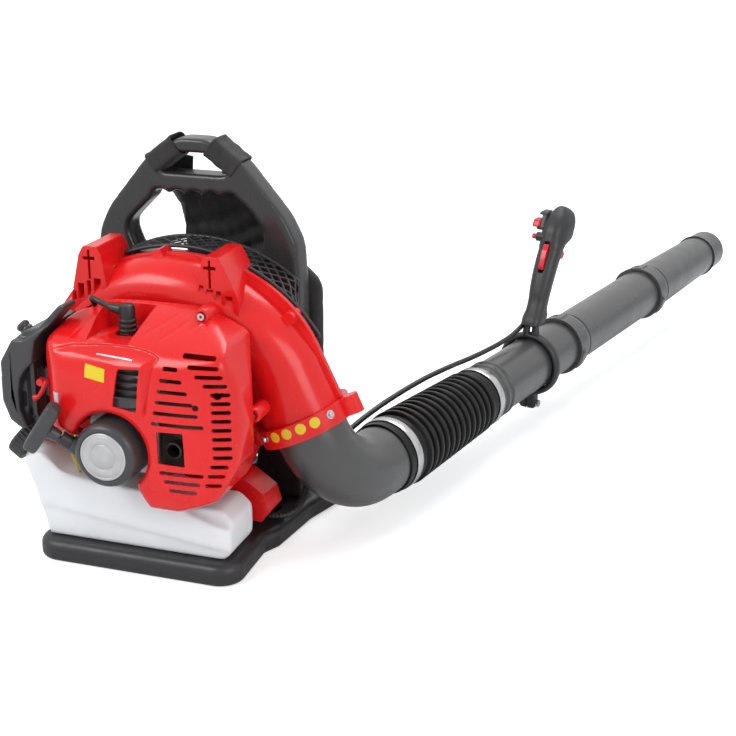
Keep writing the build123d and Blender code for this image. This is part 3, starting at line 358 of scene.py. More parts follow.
# %% Plastic, cloth and metal finishes
RED = (0.86, 0.011, 0.012)
finishes = {
    "red_plastic": moulded("red_gloss", RED, (0.85, 0.09, 0.08), 0.2, 0.3, 0.00003,
                           Coat_Weight=0.2, Coat_Roughness=0.08, Specular_IOR_Level=0.32),
    "red_control": moulded("control_red", (0.7, 0.012, 0.02), (0.85, 0.1, 0.1), 0.25, 0.4, 0.00002),
    "black_plastic": grained("satin_black", (0.022, 0.022, 0.024), (0.07, 0.07, 0.075), 0.34, 0.5),
    "tube_plastic": grained("tube_charcoal", (0.06, 0.06, 0.061), (0.16, 0.16, 0.16), 0.26, 0.4,
                            1300, 0.00003, Coat_Weight=0.45, Coat_Roughness=0.25),
    "tank_plastic": moulded("tank_milk", (0.9, 0.92, 0.94), (0.97, 0.97, 0.97), 0.3, 0.45, 0.00005,
                            Subsurface_Weight=0.35, Subsurface_Radius=(0.02, 0.02, 0.02),
                            Subsurface_Scale=0.4),
    "rubber": grained("black_rubber", (0.012, 0.012, 0.013), (0.03, 0.03, 0.03), 0.3, 0.5, 1400, 0.00002),
    "foam": grained("filter_foam", (0.02, 0.02, 0.022), (0.05, 0.05, 0.05), 0.8, 0.95, 500, 0.0004),
    "fabric": grained("plain_cloth", (0.015, 0.015, 0.016), (0.04, 0.04, 0.04), 0.7, 0.9, 700, 0.0001),
    "hose_clear": moulded("fuel_hose", (0.75, 0.62, 0.06), (0.9, 0.8, 0.2), 0.15, 0.25, 0.00001,
                          Transmission_Weight=0.45),
    "bright_steel": metal("bright_steel", (0.62, 0.62, 0.63), 0.18, 0.34, (900, 60, 900)),
    "bellows_rubber": grained("bellows_rubber", (0.004, 0.004, 0.004), (0.02, 0.02, 0.02), 0.26, 0.4,
                              1500, 0.00002, Specular_IOR_Level=0.25),
    "label_yellow": moulded("label_yellow", (0.86, 0.66, 0.02), (0.9, 0.75, 0.1), 0.35, 0.5, 0.00001),
    "label_grey": moulded("label_grey", (0.6, 0.62, 0.62), (0.7, 0.7, 0.7), 0.35, 0.5, 0.00001),
    "drum_grey": grained("drum_grey", (0.05, 0.051, 0.054), (0.12, 0.12, 0.12), 0.3, 0.42, 1300, 0.00002),
    "disc_silver": metal("disc_silver", (0.6, 0.6, 0.61), 0.3, 0.45, (60, 900, 60)),
    "cleaner_black": grained("cleaner_black", (0.035, 0.035, 0.038), (0.11, 0.11, 0.115), 0.3, 0.42,
                             1300, 0.00003, Coat_Weight=0.2, Coat_Roughness=0.2),
    "frame_black": grained("frame_black", (0.03, 0.03, 0.031), (0.12, 0.12, 0.12), 0.24, 0.36, 1500, 0.000008,
                           Coat_Weight=0.12, Coat_Roughness=0.18, Specular_IOR_Level=0.4),
    # A dark metal for the muffler: painted shade for the inside of the cover that it sits in.
    "muffler_painted_shade": metal("muffler_painted_shade", (0.1, 0.09, 0.085), 0.5, 0.7, (200, 200, 200), 0.0001),
    "webbing": woven("webbing", (0.01, 0.01, 0.011), 900),
    "pad_cloth": woven("pad_cloth", (0.011, 0.011, 0.012), 1600),
    "cast_alloy": metal("cast_alloy", (0.42, 0.42, 0.43), 0.4, 0.62, (300, 300, 300), 0.0001),
}
print(len(finishes), "finishes")

# %% Dress the carried-over parts
# Each keeps its own shape, and takes the finish of the material slot that the record gives it.
finishes["steel"] = finishes["bright_steel"]
slot_of = {row["node"]: row["material_slot"] for row in frame["record"]["subparts"]}
for name, node in nodes.items():
    node.data.materials.clear()
    node.data.materials.append(finishes[slot_of[name]])
# The muffler is seen through the cover's slots; its dark metal is painted shade for the inside of the cover.
nodes["muffler"].data.materials[0] = finishes["muffler_painted_shade"]
print(len(nodes), "parts dressed")

# %% [markdown]
# ## Shapes
# Every new piece is worked out in millimetres as whole arrays, and becomes metres on its way into
# a mesh.  Three kinds of array cover nearly all of it: a grid of points, a stack of closed rings
# whose ends are shut, and a profile turned about an axis.


# %% Vectors and rings
def unit(*parts):
    """The vector of length 1 along these parts."""
    line = np.array(parts, float)
    return line / np.linalg.norm(line)


def even_ring(corners, count, soften):
    """Count points spread evenly round a closed polygon.

    Each is then averaged with its neighbours by a Gaussian of soften millimetres, which rounds
    the corners: p(s) = sum of w(d) p(s + d)."""
    loop = np.vstack([corners, corners[:1]]).astype(float)
    run = np.concatenate([[0], np.cumsum(np.linalg.norm(np.diff(loop, axis=0), axis=1))])
    at = np.linspace(0, run[-1], count, endpoint=False)
    ring = np.stack([np.interp(at, run, loop[:, k]) for k in range(loop.shape[1])], axis=1)
    reach = int(3 * soften * count / run[-1]) + 1
    shifts = range(-reach, reach + 1)
    weights = np.exp(-0.5 * (np.array(shifts) * run[-1] / count / soften) ** 2)
    return sum(w * np.roll(ring, k, axis=0) for k, w in zip(shifts, weights / weights.sum()))


def drawn_in(ring, amount):
    """A flat ring moved inwards by amount along its normals."""
    along = np.roll(ring, -1, axis=0) - np.roll(ring, 1, axis=0)
    normal = np.stack([along[:, 1], -along[:, 0]], axis=1) / np.linalg.norm(along, axis=1)[:, None]
    inward = np.sign((normal * (ring.mean(0) - ring)).sum()) or 1
    return ring + inward * amount * normal


def rim_distance(across, up, ring):
    """Distance in the plane from each point to the nearest point of the ring."""
    dx = across[..., None].astype(np.float32) - ring[:, 0].astype(np.float32)
    dz = up[..., None].astype(np.float32) - ring[:, 1].astype(np.float32)
    return np.sqrt((dx * dx + dz * dz).min(-1)).astype(float)


def soft_least(heights, width):
    """Smooth minimum: -width log(sum of exp(-h / width))."""
    low = np.min(heights, axis=0)
    return low - width * np.log(np.exp((low - np.stack(heights)) / width).sum(axis=0))


def step_up(value, start, end):
    """0 below start, 1 above end, and the cubic 3t^2 - 2t^3 between."""
    t = np.clip((value - start) / (end - start), 0, 1)
    return t * t * (3 - 2 * t)


# %% Closed solids
def tidy(mesh, sharp=40):
    """Turns the faces of a closed mesh outwards and shades it smooth between its sharp edges."""
    work = bmesh.new()
    work.from_mesh(mesh)
    bmesh.ops.remove_doubles(work, verts=work.verts, dist=1e-6)
    bmesh.ops.recalc_face_normals(work, faces=work.faces)
    work.to_mesh(mesh)
    work.free()
    mesh.shade_smooth()
    mesh.set_sharp_from_angle(angle=math.radians(sharp))


def solid(name, rings, sharp=40):
    """An object whose surface is a stack of closed rings (rows x cols x 3), shut at both ends."""
    rows, cols = rings.shape[:2]
    verts = np.vstack([rings.reshape(-1, 3), rings[0].mean(0), rings[-1].mean(0)])
    here = np.arange(cols)
    after = (here + 1) % cols
    last = (rows - 1) * cols
    faces = grid_faces(rows, cols, wrap_cols=True).tolist()
    faces += np.stack([np.full(cols, rows * cols), after, here], axis=1).tolist()
    faces += np.stack([np.full(cols, rows * cols + 1), here + last, after + last], axis=1).tolist()
    mesh = mesh_of(name, verts, faces)
    tidy(mesh, sharp)
    return new_object(name, mesh)


def hoop(name, rings, sharp=40):
    """An object whose surface is a stack of closed rings that runs back into its own start."""
    mesh = mesh_of(name, rings, grid_faces(*rings.shape[:2], wrap_rows=True, wrap_cols=True))
    tidy(mesh, sharp)
    return new_object(name, mesh)


def turned(profile, origin, axis, side, count=96):
    """Rings of a profile turned about an axis.

    A profile point (r, t) becomes origin + t axis + r (cos a side + sin a (axis x side))."""
    profile = np.asarray(profile, float)
    angle = np.linspace(0, 2 * np.pi, count, endpoint=False)
    side = side - axis * (side @ axis)
    side = side / np.linalg.norm(side)
    circle = np.cos(angle)[:, None] * side + np.sin(angle)[:, None] * np.cross(axis, side)
    return origin + profile[:, 1, None, None] * axis + profile[:, 0, None, None] * circle


def prism(name, corners, near, far):
    """A closed bar whose section is a polygon of (x, z) corners, from y = near to y = far."""
    corners = np.asarray(corners, float)
    ring = np.stack([corners[:, 0], np.zeros(len(corners)), corners[:, 1]], axis=1)
    return solid(name, np.stack([ring + (0, near, 0), ring + (0, far, 0)]))


def rounded_bar(name, middle, x_way, y_way, z_way, half, power=4.0, rows=24, cols=48):
    """A rounded block: |x/a|^p + |y/b|^p + |z/c|^p = 1 along three directions, for half = (a, b, c)."""
    tilt = np.linspace(-np.pi / 2, np.pi / 2, rows + 2)[1:-1, None]
    turn = np.linspace(0, 2 * np.pi, cols, endpoint=False)[None, :]
    part = [np.cos(tilt) * np.cos(turn), np.cos(tilt) * np.sin(turn), np.sin(tilt) + 0 * turn]
    size = sum(np.abs(p) ** power for p in part) ** (-1 / power)
    rings = sum(h * (size * p)[..., None] * np.asarray(w)
                for h, p, w in zip(half, part, (x_way, y_way, z_way)))
    return solid(name, np.asarray(middle) + rings)


def joined(name, things):
    """One object out of several, each keeping its faces."""
    work = bmesh.new()
    for thing in things:
        work.from_mesh(thing.data)
        bpy.data.objects.remove(thing)
    mesh = bpy.data.meshes.new(name)
    work.to_mesh(mesh)
    work.free()
    mesh.shade_smooth()
    mesh.set_sharp_from_angle(angle=math.radians(40))
    return new_object(name, mesh)


def applied(thing):
    """Makes the object's modifiers permanent."""
    graph = bpy.context.evaluated_depsgraph_get()
    mesh = bpy.data.meshes.new_from_object(thing.evaluated_get(graph))
    thing.modifiers.clear()
    thing.data = mesh
    return thing


def boolean(thing, tool, operation="DIFFERENCE"):
    """Cuts the tool from the thing, or joins it on, and removes the tool."""
    step = thing.modifiers.new("boolean", "BOOLEAN")
    step.operation = operation
    step.object = tool
    step.solver = "MANIFOLD"
    applied(thing)
    bpy.data.objects.remove(tool)
    thing.data.shade_smooth()
    thing.data.set_sharp_from_angle(angle=math.radians(38))


def dress(thing, finish, body, replaced=()):
    """Gives a new piece its finish, the body that carries it and the CAD parts it stands for.

    The body is None for a piece that bends between two of them."""
    thing.data.materials.clear()
    thing.data.materials.append(finish)
    if body:
        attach(thing, body)
    if replaced:
        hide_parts(*replaced)
    return thing


# %% [markdown]
# ## Engine cover
# The cover is one deep moulded shell.  Seen from the front it is a rounded shield; its face falls
# back in broad planes towards the rim, with a soft edge all round.  So its surface is a height
# over a polar grid: the smooth minimum of a few planes, less a quarter round at the rim.  The
# same surface drawn in by the wall gives the inside, and booleans cut the openings.

# %% Engine cover: form
COVER_RIM = [(-101, 190), (-106, 226), (-104, 250), (-80, 286), (-56, 296), (-14, 299), (60, 299),
             (92, 289), (117, 277), (134, 234), (140, 190), (132, 148), (109, 105), (64, 86), (28, 86),
             (18, 112), (-12, 150), (-70, 168), (-88, 177)]
COVER_MIDDLE = np.array((30.0, 200.0))
COVER_WALL, COVER_BACK = 2.5, 58
FAN_X, FAN_Z = -12, 152
BROW = np.array([(-90, 256), (-72, 263), (-56, 267), (-29, 269), (-8, 270), (9, 270), (27, 269),
                 (40, 267), (50, 263), (58, 256)], float)
PANEL_TOP = np.array([(-90, 258), (-52, 261), (-23, 257), (5, 253), (22, 254), (46, 256), (60, 250)], float)


def cover_depth(x, z):
    """How far the cover's face stands in front of y = 0, before its rim is rounded.

    Smooth minimum of the front plane, three that lean back at the top, three on the right, two
    on the left and one at the bottom.  Under the brow a shelf runs back to the panel below it, and
    right of the window a crease does the same; round the starter the edge rolls inwards, and three
    shallow grooves run up the slopes."""
    planes = [np.full_like(x, 148.0), 148 - 0.78 * (z - 252), 134 - 2.2 * (z - 270), 104 - 2.45 * (z - 284),
              148 - 0.27 * (x - 90), 141 - 0.5 * (x - 116), 132 - 2.2 * (x - 134),
              148 + 1.08 * (x + 74), 122 + 2.6 * (x + 97), 148 + 0.5 * (z - 104)]
    depth = soft_least(planes, 4.2) + 2.4
    brow = np.interp(x, *BROW.T)
    lip = np.interp(x, *PANEL_TOP.T)
    crease = np.interp(z, [196, 205, 255, 268], [33, 35, 44, 52])
    shelf = np.clip((z - lip) / (brow - lip), 0, 1)
    flank = np.clip((x - 31) / (crease - 31), 0, 1)
    inside = (1 - step_up(z - brow, -2.2, 1.6)) * (1 - step_up(x - crease, -2.2, 1.6))
    inside *= step_up(z, 194, 206) * step_up(x, -84, -56)
    depth -= 5.4 * np.maximum(shelf, flank) * inside
    ring = np.hypot(x - FAN_X, z - FAN_Z)
    fall = np.clip((56 - ring) / 11, 0, 1)
    depth -= 6 * (1 - np.sqrt(1 - fall ** 2))
    for (ax, az), (bx, bz) in (((50, 297), (21, 279)), ((70, 297), (42, 277)), ((-47, 293), (-62, 272))):
        run = (bx - ax) ** 2 + (bz - az) ** 2
        along = np.clip(((x - ax) * (bx - ax) + (z - az) * (bz - az)) / run, 0, 1)
        away = np.hypot(x - ax - along * (bx - ax), z - az - along * (bz - az))
        depth -= 1.1 * np.exp(-(away / 1.1) ** 2)
    return depth


def cover_solid(name, inset, back, count=560):
    """The cover as a closed body: rays from its middle to its rim, then walls straight back."""
    ring = even_ring(COVER_RIM, count, 3.6)
    if inset:
        ring = drawn_in(ring, inset)
    share = np.concatenate([np.linspace(0.01, 0.92, 96), np.linspace(0.928, 1, 18)])[:, None, None]
    flat = COVER_MIDDLE + share * (ring - COVER_MIDDLE)
    x, z = flat[..., 0], flat[..., 1]
    gap = np.clip(rim_distance(x, z, ring), 0, 9)
    face = cover_depth(x, z) - inset - (9 - np.sqrt(81 - (9 - gap) ** 2))
    front = np.stack([x, -face, z], axis=-1)
    t = np.linspace(0, 1, 12)[1:, None]
    y = -(face[-1] + (back - face[-1]) * t)
    limit = 140 - inset - np.maximum(0, y + 104) * 22 / 46
    side = np.stack([np.minimum(ring[:, 0] + 0 * t, limit), y, ring[:, 1] + 0 * t], axis=-1)
    return solid(name, np.concatenate([front, side]))


def plug_recess(grow):
    """The wedge round the spark plug, open towards the front."""
    return prism("recess", [(-62 - grow, 340), (-42 - grow, 271 - grow), (8 + grow, 271 - grow),
                            (20 + grow, 340)], -66 + grow, -170)


# %% Engine cover: shell
y_axis, x_axis, z_axis = np.eye(3)[[1, 0, 2]]


def rod(name, start, end, radius, tip=None, count=40):
    """A straight round bar from start to end, or a cone where tip gives its last radius."""
    start, end = np.asarray(start, float), np.asarray(end, float)
    run = np.linalg.norm(end - start)
    axis = (end - start) / run
    side = x_axis if abs(axis @ x_axis) < 0.8 else z_axis
    return solid(name, turned([(radius, 0), (radius if tip is None else tip, run)], start, axis, side, count))


def screw_groove(grow):
    """A shallow groove that widens up the slope to the upper screw."""
    return rod("groove", (52, -129, 275), (77, -89, 298), 0.5 + grow, 8.5 + grow)


cover = cover_solid("engine_cover_shell", 0, COVER_BACK)
hollow = cover_solid("cover_hollow", COVER_WALL, COVER_BACK - 10, 200)
for body, grow in ((cover, 0), (hollow, COVER_WALL)):
    boolean(body, plug_recess(grow))
    boolean(body, screw_groove(grow))
boolean(cover, hollow)
print("cover shell", len(cover.data.polygons), "faces")


# %% Engine cover: openings
def slot_outline(left, right, z, height):
    """A slot with round ends, as a polygon."""
    turn = np.linspace(-np.pi / 2, np.pi / 2, 9)
    r = height / 2
    end = np.stack([right - r + r * np.cos(turn), z + r * np.sin(turn)], axis=1)
    start = np.stack([left + r - r * np.cos(turn), z - r * np.sin(turn)], axis=1)
    return np.vstack([end, start])


rows = [(56 - 3 * i, 73 + 5.4 * i, 255 - 12.4 * i) for i in range(6)]
rows += [(48 + 5 * i, 98 - 4 * i, 137 - 10 * i) for i in range(3)]
rows += [(min(108, 75 + 8.5 * i) - max(0, 3 * (i - 11)), min(128, 113 + 4 * i) - max(0, 4 * (i - 11)),
          268 - 9.2 * i - 0.065 * i ** 2) for i in range(15)]
slots = [prism("slot", slot_outline(left, right, z, 4.6), -100, -156) for left, right, z in rows]
boolean(cover, joined("slots", slots))
PULL = unit(-0.795, -0.294, 0.53)         # the way the starter rope is pulled
GUIDE = np.array((-59.0, -150.0, 158.0))    # the mouth of its guide
window = even_ring([(-4, 207), (24, 202.5), (29.5, 251.5), (4, 249.5)], 60, 1.2)
outlet_window = even_ring([(47, 147), (78, 146), (77, 185), (47, 184)], 60, 1.2)
for tool in (prism("window", window, -118, -156), prism("outlet_window", outlet_window, -118, -156),
             rod("starter_hole", (FAN_X, -100, FAN_Z), (FAN_X, -160, FAN_Z), 45, count=120),
             rod("plug_hole", (FAN_X, -90, 255), (FAN_X, -90, 285), 14),
             prism("lead_notch", [(-71, 277), (-57, 277), (-57, 309), (-71, 309)], -54, -80),
             rod("rope_hole", GUIDE - PULL * 12, GUIDE + PULL * 18, 10),
             rod("small_hole", (120, -80, 232), (120, -150, 232), 1.2),
             rod("sensor_hole", (92, -100, 215), (92, -156, 215), 3.6),
             rod("tuning_hole", (115, -80, 229), (115, -156, 229), 4.2),
             prism("open_bottom", [(-22, 60), (118, 60), (118, 104), (-22, 104)], -54, -128),
             prism("starter_room", [(-100, 60), (30, 60), (30, 168), (-100, 168)], -50, -126),
             prism("intake_side", [(-140, 183), (-90, 183), (-90, 229), (-140, 229)], -68, -112)):
    boolean(cover, tool)
for x, y, z in ((132, -88, 190), (74, -84, 296)):
    boss = solid("boss", turned([(8.6, 0), (8.6, -y - 60), (8.1, -y - 58.5), (7.2, -y - 58),
                                 (5.2, -y - 58), (5.2, -y - 61)],
                                np.array((x, -58.0, z)), -y_axis, x_axis, 48))
    boolean(cover, boss, "UNION")
dress(cover, finishes["red_plastic"], "machine", ["engine_cover"])
print("cover", len(cover.data.polygons), "faces")


# %% Engine cover: bare labels and trim
def patch(name, corners, lift, thick=0.25, count=14):
    """A thin plate that lies on the cover's face between four (x, z) corners."""
    (a, b), (d, c) = np.array(corners[:2], float), np.array(corners[:1:-1], float)
    u, v = np.meshgrid(np.linspace(0, 1, count), np.linspace(0, 1, count))
    flat = ((1 - u) * (1 - v))[..., None] * a + (u * (1 - v))[..., None] * b \
        + (u * v)[..., None] * c + ((1 - u) * v)[..., None] * d
    x, z = flat[..., 0], flat[..., 1]
    plate = new_object(name, mesh_of(name, np.stack([x, -cover_depth(x, z) - lift, z], axis=-1),
                                     grid_faces(count, count)))
    shell = plate.modifiers.new("thick", "SOLIDIFY")
    shell.thickness = thick * 0.001
    shell.offset = 0
    return applied(plate)


label = patch("service_label", [(-34, 252), (-10.5, 248), (-11.5, 233), (-35, 237)], 0.3)
plate = patch("grey_label", [(-77, 214.5), (-69, 214.5), (-69.5, 203.5), (-76.5, 203.5)], 0.3)
strip = patch("bright_strip", [(-24, 262), (19, 259.8), (19, 258.6), (-24, 260.8)], 0.4)
for thing, finish, slot in ((label, "label_yellow", "black_plastic"), (plate, "label_grey", "black_plastic"),
                            (strip, "bright_steel", "steel")):
    tidy(thing.data)
    dress(thing, finishes[finish], "machine")


# %% [markdown]
# ## Along the hose
# The elbow, bellows and tubes share one straight axis, so their pieces are profiles turned about
# it.  The frame of that axis comes from the joints: the hose lifts about a point 118 mm along it.

# %% Hose frame
joints = {row["name"]: row for row in frame["record"]["behaviour"]["joints"]}
HOSE_DIR = unit(0.2495, 0.968, 0.0165)
HOSE_START = np.array(joints["hose_lift"]["pos_m"]) * 1000 - 118 * HOSE_DIR
HOSE_LEFT = unit(-0.968, 0.2495, 0)
HOSE_UP = np.cross(HOSE_DIR, HOSE_LEFT)
print("hose starts at", HOSE_START.round(1))


def along_hose(left, up, station):
    """A point by its distances left of, above and along the hose."""
    return HOSE_START + left * HOSE_LEFT + up * HOSE_UP + station * HOSE_DIR


def hose_lathe(profile, count=96):
    """Rings of a (radius, station) profile turned about the hose."""
    return turned(profile, HOSE_START, HOSE_DIR, HOSE_LEFT, count)


# %% Bellows
RIDGES, RIDGE_FROM, RIDGE_TO = 13, 24, 206
CLAMP_NEAR, CLAMP_FAR = 7, 226


def bellows_wall(t):
    """Outer radius: smooth cuffs, and between them ridges r = crest - 5.6 (1 - s), where s is a
    flattened cosine of the place within the ridge."""
    crest = np.interp(t, (RIDGE_FROM, RIDGE_TO), (48.5, 43.2))
    phase = (t - RIDGE_FROM) / (RIDGE_TO - RIDGE_FROM) * RIDGES
    s = np.clip(0.5 - 0.78 * np.cos(2 * np.pi * phase), 0, 1)
    s = s * s * (3 - 2 * s)
    ridge = crest - 5.6 * (1 - s)
    near = 44.9 - 0.5 * np.exp(-((t - 18) / 2.0) ** 2)
    far = 40.1 + 0.7 * np.exp(-((t - 214) / 1.8) ** 2)
    return np.where(t < RIDGE_FROM, near, np.where(t > RIDGE_TO, far, ridge))


stations = np.concatenate([[-12, -11.2], np.linspace(-10, RIDGE_FROM - 1, 22),
                           np.linspace(RIDGE_FROM, RIDGE_TO, RIDGES * 18 + 1),
                           np.linspace(RIDGE_TO + 1, 235, 20), [236]])
outer = bellows_wall(stations)
outer[[0, -1]] -= 0.8
inner = np.maximum(outer - 1.7, np.where(stations < 20, 42.6, 37.7))
inner[[0, -1]] = np.array((43.2, 38.4))
profile = np.concatenate([np.stack([outer, stations], 1), np.stack([inner, stations], 1)[::-1]])
bellows = hoop("bellows_hose", hose_lathe(profile, 84), 60)
dress(bellows, finishes["bellows_rubber"], None, ["bellows"])
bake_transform(bellows)
print("bellows", len(bellows.data.polygons), "faces")


# %% Hose clamps
def band_clamp(name, radius, station, body, node):
    """A worm-drive band: a flat strap round the cuff, its free end, and the screw housing."""
    strap = hoop("strap", hose_lathe([(radius + 0.1, station - 6), (radius + 1.1, station - 6.4),
                                      (radius + 1.5, station - 5.6), (radius + 1.5, station + 5.6),
                                      (radius + 1.1, station + 6.4), (radius + 0.1, station + 6)], 120))
    out = unit(*(0.8 * HOSE_LEFT - 0.6 * HOSE_UP))
    way = np.cross(HOSE_DIR, out)
    seat = along_hose(0, 0, station) + out * (radius + 4.2)
    block = rounded_bar("block", seat, way, HOSE_DIR, out, (7, 5.4, 3.2), 8)
    screw = rod("screw", seat - way * 11.5, seat + way * 9, 2.4, count=20)
    head = rod("head", seat - way * 15, seat - way * 11, 4, count=6)
    piece = joined(name, [strap, block, screw, head])
    return dress(piece, finishes["bright_steel"], body, [node])


band_clamp("near_clamp", 44.9, CLAMP_NEAR, "elbow", "hose_clamp_near")
band_clamp("far_clamp", 40.1, CLAMP_FAR, "handle_tube", "hose_clamp_far")

# %% [markdown]
# ## Tube joints
# Each tube ends in a socket that locks on the next one with a quarter turn: a stepped collar with
# two raised ramps beside its entry, and a thin seam ring where the collar meets the tube.  The
# plain sockets stay; the ramps, stops and rings are laid on them.


# %% Socket ramps
def arc_pad(name, radius, rise, station, length, start, sweep, soft=3.0):
    """A raised pad on a cylinder: its height rises from the edges as a quarter sine.

    It spans sweep degrees from start and length millimetres from station."""
    u = np.linspace(0, 1, 40)[:, None]
    v = np.linspace(0, 1, 18)[None, :]
    angle = np.radians(start + sweep * u)
    edge = np.minimum(np.minimum(u, 1 - u) * np.radians(abs(sweep)) * radius,
                      np.minimum(v, 1 - v) * length)
    sunk = 0.6
    height = radius - sunk + (rise + sunk) * np.sin(np.clip(edge / soft, 0, 1) * np.pi / 2)
    line = HOSE_START + (station + length * v)[..., None] * HOSE_DIR
    out = np.cos(angle)[..., None] * HOSE_UP + np.sin(angle)[..., None] * HOSE_LEFT
    points = line + height[..., None] * out
    under = line + (radius - sunk) * out
    ring = [np.concatenate([points[i], under[i][::-1]]) for i in range(len(u))]
    return solid(name, np.stack(ring))


SOCKET_R, MIDDLE_SOCKET, NOZZLE_SOCKET, NOZZLE_END = 41.85, 500, 806, 1050


def socket_trim(name, station, body):
    """Ramps, stops and seam rings of the socket that ends at this station."""
    radius = SOCKET_R
    parts = []
    for half in (0, 180):
        parts.append(arc_pad("ramp", radius, 2.6, station - 29.5, 17, half + 46, 40))
        parts.append(arc_pad("stop", radius, 4.6, station - 29, 9, half + 84, 9, 2))
        parts.append(arc_pad("key", radius, 1.8, station - 30.2, 26, half - 8, 17, 2))
    lip = [(-0.5, -30.6), (0.6, -30.6), (1.3, -29.6), (1.1, -27.6), (-0.5, -26.6)]
    seam = [(-5, 9.4), (-3.1, 10.2), (-3.1, 12.4), (-5, 13.2)]
    for name_of, profile in (("lip", lip), ("seam", seam)):
        parts.append(hoop(name_of, hose_lathe([(radius + r, station + t) for r, t in profile], 120)))
    return dress(joined(name, parts), finishes["tube_plastic"], body)


socket_trim("middle_socket_trim", MIDDLE_SOCKET, "middle_tube")
socket_trim("nozzle_socket_trim", NOZZLE_SOCKET, "nozzle_tube")
step = hoop("nozzle_step", hose_lathe([(r, NOZZLE_END - t) for r, t in (
    (36.6, 9.5), (34.6, 6), (34.6, 4), (34.0, 3.5), (33.6, 8))]))
dress(step, finishes["tube_plastic"], "nozzle_tube")
print("nozzle step", len(step.data.polygons), "faces")

# %% [markdown]
# ## Control handle
# The grip is one flowing form: an oval section that leans along the hose, swells into a domed
# head with a hooded nose over the trigger, and flares at its foot.  It is a loft: at each height
# the section is a superellipse between two side curves, and those curves are interpolated
# smoothly.  Booleans sink the wells of the trigger, the lock-out lever and the button.

# %% Control handle: grip
GRIP_AT, RING_R, GRIP_TOP, DOME_FROM = 385, 46.5, 153, 121
GRIP_ORIGIN = along_hose(0, RING_R + 12, GRIP_AT)
LEAN = math.tan(math.radians(27))
GRIP_SIDE = HOSE_LEFT


def grip_point(up, ahead, side):
    """A point of the handle: up its height, ahead of its leaning centre line, and to the left."""
    up, ahead, side = np.broadcast_arrays(np.asarray(up, float), ahead, side)
    return GRIP_ORIGIN + (LEAN * (up + 12) + ahead)[..., None] * HOSE_DIR \
        + up[..., None] * HOSE_UP + side[..., None] * GRIP_SIDE


def through(at, heights, values):
    """Smooth curve through values: on each interval a cubic that meets both values, with the slope
    at each end taken from its neighbours."""
    heights = np.asarray(heights, float)
    values = np.asarray(values, float)
    slope = np.gradient(values, heights)
    i = np.clip(np.searchsorted(heights, at) - 1, 0, len(heights) - 2)
    h = heights[i + 1] - heights[i]
    t = (at - heights[i]) / h
    return ((2 * t ** 3 - 3 * t ** 2 + 1) * values[i] + (t ** 3 - 2 * t ** 2 + t) * h * slope[i]
            + (3 * t ** 2 - 2 * t ** 3) * values[i + 1] + (t ** 3 - t ** 2) * h * slope[i + 1])


def grip_rings(count=72):
    """Closed sections of the grip from its foot to its crown.

    Section: ahead = middle + reach |cos a|^(2/p) sign(cos a), side = half |sin a|^(2/p) sign(sin a)."""
    up = np.concatenate([[-1, -0.4, 1], np.linspace(3, 99, 54), np.linspace(100, 112, 30),
                         np.linspace(113.5, GRIP_TOP - 0.5, 40)])
    shape = np.array([(-1, -17, 19, 14.5), (9, -18, 20, 15), (18, -15.5, 16.5, 13.6), (28, -14.5, 15, 13.6),
                      (48, -17, 12.5, 15), (70, -18.5, 13.5, 16), (88, -18, 17, 16.4), (98, -16.5, 20, 16.8),
                      (103.5, -17, 25, 18), (108, -18, 43, 19), (118, -19.5, 50, 19.4), (130, -21, 48, 19.2),
                      (142, -21, 39, 18.4), (153, -17, 24, 16)])
    front, back, half = (through(up, shape[:, 0], shape[:, k]) for k in (1, 2, 3))
    crown = np.sqrt(np.clip(1 - (np.clip(up - DOME_FROM, 0, None) / (GRIP_TOP - DOME_FROM)) ** 2, 0, 1))
    foot = np.where(up < 1, 0.82 + 0.09 * (up + 1), 1)
    middle = (front + back) / 2 - (1 - crown) * 3
    reach = (back - front) / 2 * crown * foot
    half = half * crown * foot
    power = np.interp(up, (0, 20, 94, 118, 152), (3.2, 2.5, 2.4, 2.7, 2.4))[:, None]
    a = np.linspace(0, 2 * np.pi, count, endpoint=False)[None, :]
    ahead = middle[:, None] + reach[:, None] * np.sign(np.cos(a)) * np.abs(np.cos(a)) ** (2 / power)
    side = half[:, None] * np.sign(np.sin(a)) * np.abs(np.sin(a)) ** (2 / power)
    side *= 1 - 0.3 * step_up(ahead, 18, 46) * step_up(up, 100, 110)[:, None]
    groove = np.exp(-(side / 0.45) ** 2) * 0.35
    ahead -= groove * np.sign(np.cos(a))
    return grip_point(up[:, None], ahead, side)


grip = solid("grip", grip_rings(), 50)
way = unit(*(LEAN * HOSE_DIR + HOSE_UP))


def grip_block(name, up, ahead, side, half, power):
    """A rounded block that leans with the grip."""
    return rounded_bar(name, grip_point(up, ahead, side), HOSE_DIR, GRIP_SIDE, way, half, power)


def grip_pin(name, up, ahead, inner, outer, radius, tip=None, count=40):
    """A round bar that sticks out of the grip's left side, from inner to outer."""
    return rod(name, grip_point(up, ahead, inner), grip_point(up, ahead, outer), radius, tip, count)


for tool in (grip_block("trigger_pocket", 84, 24, 0, (20, 5.6, 17), 8),
             grip_block("lockout_pocket", 90, -22, 0, (13, 4.8, 23), 8),
             grip_pin("pin_well", 113, -10, 5, 30, 5), grip_pin("side_screw", 139, 12, 8, 30, 3.6),
             grip_pin("hood_screw", 116, 34, 5, 30, 2.2)):
    boolean(grip, tool)
screws = [grip_pin("screw", 139, 12, 9, 12.5, 3, count=24), grip_pin("screw", 116, 34, 6, 9, 1.8, count=24)]
pod = grip_block("pod", 134, -4, 18.5, (10, 6.5, 13.5), 7)
boolean(pod, grip_block("well", 134, -11, 26, (12.4, 7.4, 9.6), 12))
nub = grip_pin("nub", 113, -10, 8, 20.5, 6.6)
boolean(nub, grip_pin("nub_well", 113, -10, 7, 22, 4.6))
grip = joined("grip", [grip, pod, nub])
dress(grip, finishes["black_plastic"], "handle_tube",
      ["handle_shell_left", "handle_shell_right"])
dress(joined("grip_screws", screws), finishes["bright_steel"], "handle_tube")
